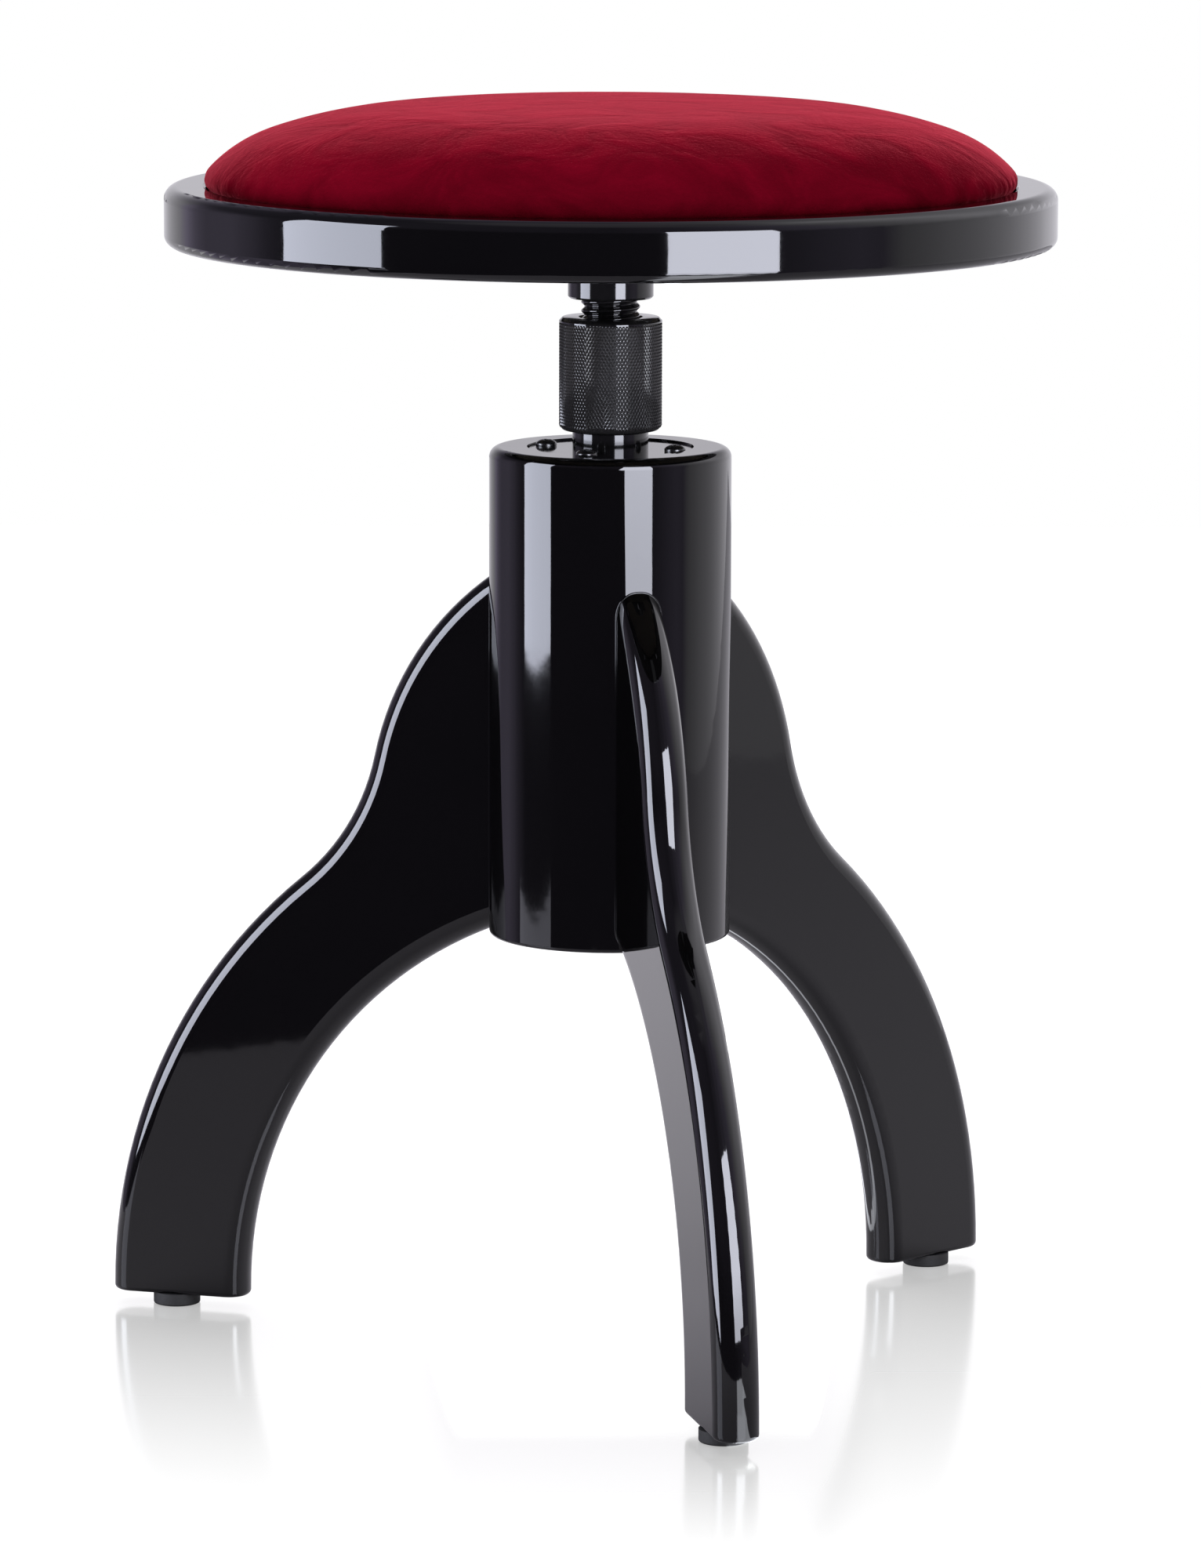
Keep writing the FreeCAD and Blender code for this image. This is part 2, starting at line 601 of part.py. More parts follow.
def make_foot(side, angle):
    """A rubber foot, moulded round the disc of its stud."""
    foot = new_body(f"foot_{side}", angle)
    turn(foot, "rubber", [
        Corner("axis", "floor"),
        Corner("foot_radius", "floor"),
        Corner("foot_radius", "leg_bottom"),
        Corner("disc_radius", "leg_bottom"),
        Corner("disc_radius", "disc_bottom"),
        Corner("axis", "disc_bottom"),
    ], centre="foot_x")
    ease(foot, "Fillet", "foot_edge_round", edges_where(foot.Tip.Shape, is_foot_rim))
    return foot


def is_foot_rim(edge):
    curve = edge.Curve
    return isinstance(curve, Part.Circle) and abs(curve.Radius - value("foot_radius")) < NEAR \
        and abs(curve.Center.z) < NEAR


def make_foot_studs():
    studs = new_body("foot_studs", LEG_ANGLES["right"])
    stud = turn(studs, "stud", [
        Corner("axis", "disc_bottom"),
        Corner("disc_radius", "disc_bottom"),
        Corner("disc_radius", "leg_bottom"),
        Corner("stud_radius", "leg_bottom"),
        Corner("stud_radius", "stud_top"),
        Corner("axis", "stud_top"),
    ], centre="foot_x")
    ring_of(studs, stud, len(LEG_ANGLES))
    return studs


def make_neck_flange():
    neck = new_body("neck_flange", value("flange_screw_angle"))
    turn(neck, "steel", [
        Corner("thread_bore", "socket_bottom"),
        Corner("socket_radius", "socket_bottom"),
        Corner("socket_radius", "recess_floor"),
        Corner("flange_radius", "recess_floor"),
        Corner("flange_radius", "flange_top"),
        Corner("neck_radius", "flange_top"),
        Corner("neck_radius", "neck_top"),
        Corner("thread_bore", "neck_top"),
    ])
    ease_circles(neck, "Fillet", "flange_edge_round", ("flange_radius", "flange_top"), ("neck_radius", "neck_top"))
    drill(neck, "screw_hole", "flange_screw_x",
          box_corners("axis", "flange_hole_radius", "recess_floor", "flange_top"), FLANGE_SCREWS)
    return neck


def make_flange_screws():
    screws = new_body("flange_screws", value("flange_screw_angle"))
    screw = turn(screws, "screw", [
        Corner("axis", "flange_screw_tip"),
        Corner("flange_screw_radius", "flange_screw_tip"),
        Corner("flange_screw_radius", "flange_top"),
        Corner("flange_head_radius", "flange_top"),
        Corner("axis", "flange_head_top", "flange_head_dome", 1),
    ], centre="flange_screw_x")
    ring_of(screws, screw, FLANGE_SCREWS)
    return screws


def make_stop_washer():
    washer = new_body("stop_washer")
    turn(washer, "steel", box_corners("stop_washer_hole", "stop_washer_radius",
                                      "stop_washer_bottom", "stop_washer_top"))
    return washer


def make_stop_screw():
    screw = new_body("stop_screw")
    turn(screw, "steel", [
        Corner("axis", "stop_head_bottom"),
        Corner("stop_head_radius", "stop_head_bottom"),
        Corner("stop_head_radius", "stop_head_top"),
        Corner("stop_screw_radius", "stop_head_top"),
        Corner("stop_screw_radius", "stop_screw_tip"),
        Corner("axis", "stop_screw_tip"),
    ])
    return screw


def pin_hole(body):
    """The hole for the hub's pin, drilled from the back through the near wall of the hub and the spindle."""
    circle = new_sketch(body, "pin_circle", z="pin_hole_front")
    draw_circles(circle, [("axis", "pin_z")], "pin_radius")
    push(body, "Pocket", "pin_hole", circle, "pin_hole_length")


def make_spindle():
    spindle = new_body("spindle")
    turn(spindle, "steel", [
        Corner("axis", "stop_hole_end"),
        Corner("stop_screw_radius", "stop_hole_end"),
        Corner("stop_screw_radius", "spindle_bottom"),
        Corner("spindle_radius", "spindle_bottom"),
        Corner("spindle_radius", "spindle_top"),
        Corner("axis", "spindle_top"),
    ])
    ease_circles(spindle, "Chamfer", "spindle_chamfer", ("spindle_radius", "spindle_bottom"),
                 ("spindle_radius", "spindle_top"))
    pin_hole(spindle)
    return spindle


def make_thrust_washer():
    washer = new_body("thrust_washer")
    turn(washer, "steel", box_corners("thrust_washer_hole", "thrust_washer_radius",
                                      "nut_bottom", "thrust_washer_top"))
    return washer


def make_lock_nut():
    nut = new_body("lock_nut")
    turn(nut, "steel", [
        Corner("thread_bore", "nut_pocket_top"),
        Corner("nut_pocket_radius", "nut_pocket_top"),
        Corner("nut_pocket_radius", "nut_bottom"),
        Corner("nut_radius", "nut_bottom"),
        Corner("nut_radius", "nut_top"),
        Corner("thread_bore", "nut_top"),
    ])
    ease_circles(nut, "Chamfer", "nut_top_chamfer", ("nut_radius", "nut_top"))
    ease_circles(nut, "Fillet", "nut_bottom_round", ("nut_radius", "nut_bottom"))
    return nut


def make_seat_hub():
    hub = new_body("seat_hub")
    turn(hub, "steel", box_corners("spindle_radius", "hub_radius", "hub_bottom", "hub_top"))
    ease_circles(hub, "Chamfer", "hub_chamfer", ("hub_radius", "hub_bottom"))
    pin_hole(hub)
    return hub


def make_hub_pin():
    pin = new_body("hub_pin")
    circle = new_sketch(pin, "circle", z="pin_front")
    draw_circles(circle, [("axis", "pin_z")], "pin_radius")
    push(pin, "Pad", "steel", circle, "pin_length", reverse=True)
    return pin


def make_seat_plate():
    plate = new_body("seat_plate")
    turn(plate, "steel", box_corners("axis", "plate_radius", "hub_top", "plate_top"))
    ease_circles(plate, "Fillet", "plate_edge_round", ("plate_radius", "hub_top"))
    drill(plate, "screw_hole", "plate_screw_x",
          box_corners("axis", "plate_hole_radius", "hub_top", "plate_top"), PLATE_SCREWS)
    return plate


def make_plate_screws():
    screws = new_body("plate_screws")
    screw = turn(screws, "screw", [
        Corner("axis", "plate_head_bottom"),
        Corner("plate_head_radius", "hub_top", "plate_head_dome", 1),
        Corner("plate_screw_radius", "hub_top"),
        Corner("plate_screw_radius", "plate_screw_tip"),
        Corner("axis", "plate_screw_tip"),
    ], centre="plate_screw_x")
    ring_of(screws, screw, PLATE_SCREWS)
    return screws


def make_seat_ring():
    ring = new_body("seat_ring")
    turn(ring, "wood", [
        Corner("ledge_inner", "ring_bottom"),
        Corner("seat_radius", "ring_bottom"),
        Corner("seat_radius", "ring_top"),
        Corner("ring_inner", "ring_top"),
        Corner("ring_inner", "ledge_top"),
        Corner("ledge_inner", "ledge_top"),
    ])
    ease_circles(ring, "Fillet", "ring_top_round", ("seat_radius", "ring_top"))
    ease_circles(ring, "Fillet", "ring_bottom_round", ("seat_radius", "ring_bottom"))
    ease_circles(ring, "Fillet", "ring_inner_round", ("ring_inner", "ring_top"), ("ledge_inner", "ring_bottom"))
    drill(ring, "screw_hole", "board_screw_x", [
        Corner("axis", "ring_bottom"),
        Corner("board_head_radius", "ring_bottom"),
        Corner("board_hole_radius", "board_head_top"),
        Corner("board_hole_radius", "ledge_top"),
        Corner("axis", "ledge_top"),
    ], BOARD_SCREWS)
    return ring


def make_seat_board():
    board = new_body("seat_board")
    turn(board, "wood", box_corners("axis", "board_radius", "plate_top", "board_top"))
    drill(board, "plate_screw_hole", "plate_screw_x",
          box_corners("axis", "plate_screw_radius", "plate_top", "plate_screw_hole_end"), PLATE_SCREWS)
    drill(board, "board_screw_hole", "board_screw_x",
          box_corners("axis", "board_screw_radius", "plate_top", "board_screw_hole_end"), BOARD_SCREWS)
    return board


def make_board_screws():
    """Countersunk screws that hold the ring to the board, flush with the ring's underside."""
    screws = new_body("board_screws")
    screw = turn(screws, "screw", [
        Corner("axis", "ring_bottom"),
        Corner("board_head_radius", "ring_bottom"),
        Corner("board_screw_radius", "board_head_top"),
        Corner("board_screw_radius", "board_screw_tip"),
        Corner("axis", "board_screw_tip"),
    ], centre="board_screw_x")
    ring_of(screws, screw, BOARD_SCREWS)
    return screws


def crown(layer):
    """A layer's face from the axis outwards and down to the foot of its tuck."""
    return [
        Corner("axis", f"{layer}_top"),
        Corner(f"{layer}_brow_x", f"{layer}_brow_z", f"{layer}_crown_radius", -1),
        Corner(f"{layer}_cheek_x", f"{layer}_cheek_z", f"{layer}_brow_radius", -1),
        Corner(f"{layer}_tuck_x", f"{layer}_tuck_z", f"{layer}_cheek_radius", -1),
        Corner(f"{layer}_wall", f"{layer}_side_top", f"{layer}_tuck_radius", -1),
    ]


def reverse_way(corners):
    """The same way back. Each arc moves to the corner that it now leads to, and turns the other way."""
    way_back = []
    for here, after in zip(reversed(corners), [None, *reversed(corners)]):
        arc = (after.radius, -after.turn) if after else (None, 0)
        way_back.append(Corner(here.x, here.z, *arc))
    return way_back


def make_cushion_foam():
    foam = new_body("cushion_foam")
    turn(foam, "foam", [*crown("foam"), Corner("foam_wall", "board_top"), Corner("axis", "board_top")])
    return foam


def make_cushion_cover():
    """The velvet, down past the edge of the board, with its hem turned in under the board."""
    cover = new_body("cushion_cover")
    turn(cover, "velvet", [
        *crown("cover"),
        Corner("cover_wall", "ledge_top"),
        Corner("hem_inner", "ledge_top"),
        Corner("hem_inner", "plate_top"),
        Corner("lining_wall", "plate_top"),
        *reverse_way(crown("lining")),
    ])
    return cover


def build():
    parts = [
        make_column(),
        *[make_leg(side, angle) for side, angle in LEG_ANGLES.items()],
        make_leg_dowels(),
        *[make_foot(side, angle) for side, angle in LEG_ANGLES.items()],
        make_foot_studs(),
        make_neck_flange(),
        make_flange_screws(),
        make_stop_washer(),
        make_thrust_washer(),
        make_lock_nut(),
        make_spindle(),
        make_stop_screw(),
        make_seat_hub(),
        make_hub_pin(),
        make_seat_plate(),
        make_plate_screws(),
        make_seat_ring(),
        make_seat_board(),
        make_board_screws(),
        make_cushion_foam(),
        make_cushion_cover(),
    ]
    doc.recompute()
    return parts


def check(parts):
    """Stops at any object that failed to compute and at any part without a sound shape."""
    for item in doc.Objects:
        if "Invalid" in item.State or "Error" in item.State:
            raise RuntimeError(f"{item.Name}: {item.State}")
    for part in parts:
        if part.Shape.isNull() or not part.Shape.isValid() or not part.Shape.Solids:
            raise RuntimeError(f"{part.Label} has no valid shape")


def write(parts):
    os.makedirs(OUT, exist_ok=True)
    for part in parts:
        part.Shape.exportStep(f"{OUT}/{part.Label}.step")
        box = part.Shape.BoundBox
        print(f"{part.Label:16} {len(part.Shape.Solids)} solids, {part.Shape.Volume / 1000:8.1f} cm3, "
              f"z {box.ZMin:.1f} to {box.ZMax:.1f}")


parts = build()
check(parts)
write(parts)
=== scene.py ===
"""Piano stool: a velvet seat on a threaded spindle, over a black lacquered column with three curved legs."""
import math

import bpy
import bmesh
import numpy as np
from mathutils import Matrix, Vector
from mathutils.bvhtree import BVHTree


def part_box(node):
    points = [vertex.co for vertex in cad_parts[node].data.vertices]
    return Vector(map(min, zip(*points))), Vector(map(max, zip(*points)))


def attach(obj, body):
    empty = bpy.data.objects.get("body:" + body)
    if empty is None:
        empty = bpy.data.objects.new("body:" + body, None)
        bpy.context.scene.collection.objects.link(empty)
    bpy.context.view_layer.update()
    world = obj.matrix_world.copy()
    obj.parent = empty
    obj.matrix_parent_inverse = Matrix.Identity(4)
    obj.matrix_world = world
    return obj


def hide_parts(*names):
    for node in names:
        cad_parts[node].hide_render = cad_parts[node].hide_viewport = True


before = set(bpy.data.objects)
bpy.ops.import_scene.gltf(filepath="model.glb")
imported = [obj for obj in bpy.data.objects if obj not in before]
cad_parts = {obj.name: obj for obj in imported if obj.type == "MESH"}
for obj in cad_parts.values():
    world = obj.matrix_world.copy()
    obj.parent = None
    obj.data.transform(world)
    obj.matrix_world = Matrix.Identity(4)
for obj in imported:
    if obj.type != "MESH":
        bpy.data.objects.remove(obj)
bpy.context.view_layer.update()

bl_info = {
    "name": "Piano stool",
    "version": (1, 0, 0),
    "blender": (4, 2, 0),
    "location": "3D View > Sidebar > Piano stool",
    "description": "Dresses a height-adjustable piano stool in lacquer, steel and velvet",
    "category": "Object",
}

MM = 0.001
WHITE = (1.0, 1.0, 1.0, 1.0)

# Low and high corners of the CAD nodes' boxes, or the one height or radius that is used
BOARD_LOW, BOARD_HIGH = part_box("seat_board")
SPINDLE_LOW, SPINDLE_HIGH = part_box("spindle")
NUT_LOW, NUT_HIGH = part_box("lock_nut")
RING_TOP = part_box("seat_ring")[1][2]
COVER_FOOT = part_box("cushion_cover")[0][2]
HUB_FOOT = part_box("seat_hub")[0][2]
COLUMN_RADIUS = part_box("column")[1][0]
FLANGE_SCREWS_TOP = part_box("flange_screws")[1][2]
PLATE_SCREWS_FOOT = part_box("plate_screws")[0][2]
BOARD_SCREWS_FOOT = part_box("board_screws")[0][2]

# The cover's side and the inner edge of its hem, as radii
COVER_SIDE = 0.1573
HEM_INNER = 0.1411

CAMERA_AZIMUTH = -13.6619
CAMERA_PITCH = 9.1075
CAMERA_ROLL = 0.1171
CAMERA_PLACE = (-0.69548, -2.84589, 0.69238)
CAMERA_LENS = 171.67


# Node trees written as expressions


class Link:
    """A socket of a node tree. Sums on it add the Math nodes that work them out."""

    def __init__(self, desk, socket):
        self.desk = desk
        self.socket = socket

    def math(self, operation, *others):
        return self.desk.add("ShaderNodeMath", {"operation": operation}, [self, *others])

    def __add__(self, other):
        return self.math("ADD", other)

    __radd__ = __add__

    def __sub__(self, other):
        return self.math("SUBTRACT", other)

    def __rsub__(self, other):
        return self.desk.add("ShaderNodeMath", {"operation": "SUBTRACT"}, [other, self])

    def __mul__(self, other):
        return self.math("MULTIPLY", other)

    __rmul__ = __mul__

    def __truediv__(self, other):
        return self.math("DIVIDE", other)

    def __pow__(self, other):
        return self.math("POWER", other)

    def clamped(self):
        return self.desk.add("ShaderNodeMath", {"operation": "ADD", "use_clamp": True}, [self, 0.0])

    def output(self, name):
        return Link(self.desk, self.socket.node.outputs[name])


class Desk:
    """A node tree being written. One method adds any node, and the others add what repeats."""

    def __init__(self, tree):
        self.tree = tree
        tree.nodes.clear()

    def add(self, kind, settings=None, inputs=None, output=0):
        node = self.tree.nodes.new(kind)
        for name, value in (settings or {}).items():
            if name == "stops":
                self.fill_ramp(node.color_ramp, value)
            else:
                setattr(node, name, value)
        pairs = inputs.items() if isinstance(inputs, dict) else enumerate(inputs or [])
        for key, value in pairs:
            self.feed(node.inputs[key], value)
        return Link(self, node.outputs[output]) if len(node.outputs) else node

    def feed(self, socket, value):
        if isinstance(value, Link):
            self.tree.links.new(value.socket, socket)
        elif isinstance(value, list):
            for link in value:
                self.tree.links.new(link.socket, socket)
        else:
            socket.default_value = value

    def fill_ramp(self, ramp, stops):
        while len(ramp.elements) > 1:
            ramp.elements.remove(ramp.elements[0])
        ramp.elements[0].position = stops[0][0]
        ramp.elements[0].color = (*stops[0][1], 1.0)
        for place, colour in stops[1:]:
            ramp.elements.new(place).color = (*colour, 1.0)

    def mix(self, factor, first, second):
        return self.add("ShaderNodeMix", {"data_type": "RGBA"}, {0: factor, 6: first, 7: second}, 2)

    def noise(self, vector, size, detail=2.0, roughness=0.5, distortion=0.0):
        return self.add("ShaderNodeTexNoise", None, {
            "Vector": vector, "Scale": 1.0 / size, "Detail": detail,
            "Roughness": roughness, "Distortion": distortion,
        })

    def split(self, vector):
        parts = self.add("ShaderNodeSeparateXYZ", None, [vector])
        return [parts.output(axis) for axis in "XYZ"]

    def glow(self, colour, strength):
        return self.add("ShaderNodeEmission", None, {"Color": colour, "Strength": strength})

    def gloss(self, colour, roughness):
        return self.add("ShaderNodeBsdfGlossy", None, {"Color": colour, "Roughness": roughness})

    def blend(self, share, first, second):
        return self.add("ShaderNodeMixShader", None, [share, first, second])

    def smooth_step(self, value, start, end):
        return self.add("ShaderNodeMapRange", {"interpolation_type": "SMOOTHSTEP"}, {
            "Value": value, "From Min": start, "From Max": end, "To Min": 0.0, "To Max": 1.0,
        })

    def bump(self, height, distance, strength=1.0, under=None):
        inputs = {"Height": height, "Distance": distance, "Strength": strength}
        if under is not None:
            inputs["Normal"] = under
        return self.add("ShaderNodeBump", None, inputs)


def colour4(colour, share=1.0):
    """A colour times a share, with an alpha of 1, as a socket takes it."""
    return (*[part * share for part in colour[:3]], 1.0)


def new_finish(name):
    """A new material with its desk and its Object coordinates."""
    material = bpy.data.materials.new(name)
    material.use_nodes = True
    desk = Desk(material.node_tree)
    place = desk.add("ShaderNodeTexCoord", output="Object")
    return material, desk, place


def close_finish(desk, colour, roughness, settings, normal=None):
    """Adds the shader with its even values set on its own sockets."""
    inputs = {"Base Color": colour, "Roughness": roughness, **settings}
    if normal is not None:
        inputs["Normal"] = normal
    shader = desk.add("ShaderNodeBsdfPrincipled", None, inputs)
    desk.add("ShaderNodeOutputMaterial", None, {"Surface": shader})


# Finishes


def lacquer_finish(colour):
    material, desk, place = new_finish("black_lacquer_gloss")
    flow = desk.noise(place, 0.030, 2.0, 0.5, 0.4)
    peel = desk.noise(place, 0.0035, 1.0)
    dust = desk.noise(place, 0.0012, 3.0, 0.7)
    tone = desk.mix(flow, colour4(colour, 0.8), colour4(colour, 1.25))
    roughness = 0.02 + dust * 0.035
    normal = desk.bump(peel, 0.0000015, under=desk.bump(flow, 0.00004))
    close_finish(desk, tone, roughness, {"IOR": 1.5}, normal)
    return material


def velvet_finish(colour):
    """Short pile: nap laid in swirls, a fine grain and a sheen along the edges."""
    material, desk, place = new_finish("deep_red_velvet")
    swirl = desk.noise(place, 0.034, 3.0, 0.55, 1.3)
    patch = desk.noise(place, 0.085, 2.0, 0.5, 0.6)
    tuft = desk.noise(place, 0.0016, 2.0, 0.7)
    pile = desk.noise(place, 0.0006, 2.0, 0.8)
    nap = desk.smooth_step(swirl * 0.65 + patch * 0.35, 0.37, 0.65)
    shade = nap * 0.56 + tuft * 0.29 + pile * 0.15
    tone = desk.mix(shade, colour4(colour, 0.60), colour4(colour, 1.50))
    lay = desk.bump(swirl, 0.0012)
    grain = desk.bump(tuft, 0.0003, 0.8, lay)
    normal = desk.bump(pile, 0.00018, 0.8, grain)
    close_finish(desk, tone, 0.9 - nap * 0.1, {
        "Specular IOR Level": 0.0,
        "Sheen Weight": 1.0,
        "Sheen Roughness": 0.2,
        "Sheen Tint": (1.0, 0.12, 0.18, 1.0),
    }, normal)
    return material


def knurl_finish():
    """Blackened steel: satin on the knurling and smoother on the turned end above it."""
    material, desk, place = new_finish("nut_satin_black")
    grain = desk.noise(place, 0.0006, 3.0, 0.6)
    wear = desk.noise(place, 0.012, 2.0)
    height = desk.split(place)[2]
    knurled = 1 - desk.smooth_step(height, NUT_HIGH[2] - 0.0026, NUT_HIGH[2] - 0.0020)
    smooth_tone = desk.mix(wear, (0.008, 0.008, 0.009, 1), (0.012, 0.0115, 0.013, 1))
    satin_tone = desk.mix(wear, (0.032, 0.031, 0.034, 1), (0.042, 0.041, 0.046, 1))
    tone = desk.mix(knurled, smooth_tone, satin_tone)
    close_finish(desk, tone, 0.05 + knurled * 0.06 + grain * 0.04, {"IOR": 1.6}, desk.bump(grain, 0.000002))
    return material


def oxide_finish(name, dark, light, low, high):
    """Steel blackened in a hot bath: dark, smooth and a little uneven."""
    material, desk, place = new_finish(name)
    cloud = desk.noise(place, 0.006, 3.0, 0.6, 0.3)
    grain = desk.noise(place, 0.0005, 2.0)
    tone = desk.mix(cloud, colour4(dark), colour4(light))
    close_finish(desk, tone, low + (cloud * 0.6 + grain * 0.4) * (high - low), {"IOR": 1.62},
                 desk.bump(grain, 0.000004))
    return material


def enamel_finish():
    material, desk, place = new_finish("neck_black_enamel")
    peel = desk.noise(place, 0.0022, 1.0)
    cloud = desk.noise(place, 0.018, 2.0)
    tone = desk.mix(cloud, (0.006, 0.006, 0.007, 1), (0.013, 0.013, 0.014, 1))
    close_finish(desk, tone, 0.05 + cloud * 0.06, {"IOR": 1.52}, desk.bump(peel, 0.000002))
    return material


def rubber_finish():
    material, desk, place = new_finish("foot_rubber_black")
    grain = desk.noise(place, 0.0007, 3.0, 0.7)
    bloom = desk.noise(place, 0.008, 2.0)
    tone = desk.mix(bloom, (0.010, 0.010, 0.010, 1), (0.026, 0.025, 0.025, 1))
    close_finish(desk, tone, 0.55 + grain * 0.3, {}, desk.bump(grain, 0.00006))
    return material


def zinc_finish():
    material, desk, place = new_finish("steel_zinc_plate")
    spangle = desk.add("ShaderNodeTexVoronoi", None, {"Vector": place, "Scale": 900.0})
    cloud = desk.noise(place, 0.004, 3.0, 0.6)
    tone = desk.mix(cloud, (0.50, 0.51, 0.53, 1), (0.70, 0.71, 0.72, 1))
    close_finish(desk, tone, 0.22 + spangle * 0.2, {"Metallic": 1.0}, desk.bump(spangle, 0.00001))
    return material


def timber_finish(name, early, late, ring_size, along, black_below=None):
    """Bare wood: growth rings crossed by short pores that run along the grain.

    What lies lower than the given height is black."""
    material, desk, place = new_finish(name)
    lengthwise = desk.add("ShaderNodeMapping", None, {"Vector": place, "Scale": along})
    rings = desk.noise(lengthwise, ring_size, 4.0, 0.6, 1.0)
    pores = desk.noise(lengthwise, ring_size * 0.22, 2.0, 0.7)
    tone = desk.mix(desk.smooth_step(rings * 0.75 + pores * 0.25, 0.35, 0.65), colour4(early), colour4(late))
    if black_below is not None:
        height = desk.split(place)[2]
        black_share = 1 - desk.smooth_step(height, black_below, black_below + 0.0004)
        tone = desk.mix(black_share * (1 - pores * 0.15), tone, (0.006, 0.006, 0.006, 1.0))
    close_finish(desk, tone, 0.62 + pores * 0.2, {}, desk.bump(pores, 0.0001))
    return material


# Shared mesh work


def mesh_object(name, points, faces):
    mesh = bpy.data.meshes.new(name)
    mesh.from_pydata(points, [], faces)
    mesh.update()
    made = bpy.data.objects.new(name, mesh)
    bpy.context.scene.collection.objects.link(made)
    return made


def smooth(made, angle=35.0):
    mesh = made.data
    mesh.polygons.foreach_set("use_smooth", [True] * len(mesh.polygons))
    mesh.set_sharp_from_angle(angle=math.radians(angle))
    return made


def welded(mesh, gap=1e-7):
    """A BMesh of the mesh, with points that lie on each other joined."""
    work = bmesh.new()
    work.from_mesh(mesh)
    bmesh.ops.remove_doubles(work, verts=work.verts, dist=gap)
    return work


def outward(made):
    work = welded(made.data)
    bmesh.ops.recalc_face_normals(work, faces=work.faces)
    work.to_mesh(made.data)
    work.free()
    return made


def turned(name, outline, segments=128, shape=None):
    """Turns a closed outline of (radius, height) points round the Z axis. A radius of 0 makes a pole.

    shape(radius, height, angle) may give a changed radius and height for a point."""
    points = []
    rows = []
    for radius, height in outline:
        if radius == 0:
            top = shape(radius, height, 0.0)[1] if shape else height
            rows.append([len(points)] * segments)
            points.append((0.0, 0.0, top))
            continue
        row = []
        for step in range(segments):
            angle = 2 * math.pi * step / segments
            r, z = shape(radius, height, angle) if shape else (radius, height)
            row.append(len(points))
            points.append((r * math.cos(angle), r * math.sin(angle), z))
        rows.append(row)
    closed = outline[0][0] != 0 or outline[-1][0] != 0
    faces = []
    for index in range(len(rows) if closed else len(rows) - 1):
        low, high = rows[index], rows[(index + 1) % len(rows)]
        for step in range(segments):
            after = (step + 1) % segments
            corners = [low[step], low[after], high[after], high[step]]
            corners = list(dict.fromkeys(corners))
            if len(corners) > 2:
                faces.append(corners)
    return outward(mesh_object(name, points, faces))


def arc(centre_r, centre_z, radius, start, end, steps):
    """Points of an arc of an outline, its angles in degrees from the outward direction upwards."""
    return [
        (centre_r + radius * math.cos(math.radians(start + (end - start) * i / steps)),
         centre_z + radius * math.sin(math.radians(start + (end - start) * i / steps)))
        for i in range(steps + 1)
    ]


def settle(made):
    """Gives the object the plain mesh that its modifiers make, and takes them off."""
    bpy.context.view_layer.update()
    graph = bpy.context.evaluated_depsgraph_get()
    mesh = bpy.data.meshes.new_from_object(made.evaluated_get(graph), depsgraph=graph)
    made.modifiers.clear()
    old = made.data
    made.data = mesh
    mesh.name = made.name
    bpy.data.meshes.remove(old)
    return mesh


# Geometry Nodes


SOCKET_KINDS = {
    float: "NodeSocketFloat",
    int: "NodeSocketInt",
    bpy.types.Material: "NodeSocketMaterial",
    bpy.types.Object: "NodeSocketObject",
}


class ShapeTree:
    """A Geometry Nodes tree with named inputs, run on an object and turned into a plain mesh."""

    def __init__(self, name, inputs):
        self.tree = bpy.data.node_groups.new(name, "GeometryNodeTree")
        self.values = inputs
        self.desk = Desk(self.tree)
        face = self.tree.interface
        face.new_socket("Geometry", in_out="INPUT", socket_type="NodeSocketGeometry")
        for label, value in inputs.items():
            kind = next(code for held, code in SOCKET_KINDS.items() if isinstance(value, held))
            face.new_socket(label, in_out="INPUT", socket_type=kind)
        face.new_socket("Geometry", in_out="OUTPUT", socket_type="NodeSocketGeometry")
        self.start = self.desk.add("NodeGroupInput")

    def input(self, name):
        return self.start.output(name)

    def inputs(self, *names):
        return [self.input(name) for name in names]

    def finish(self, shape):
        desk = self.desk
        real = desk.add("GeometryNodeRealizeInstances", None, {"Geometry": shape})
        painted = desk.add("GeometryNodeSetMaterial", None, {
            "Geometry": real, "Material": self.input("Finish"),
        })
        desk.add("NodeGroupOutput", None, {0: painted})

    def run(self, made):
        modifier = made.modifiers.new("Shape", "NODES")
        modifier.node_group = self.tree
        for item in self.tree.interface.items_tree:
            if item.in_out == "INPUT" and item.name in self.values:
                modifier[item.identifier] = self.values[item.name]
        settle(made)
        return made


# Seat


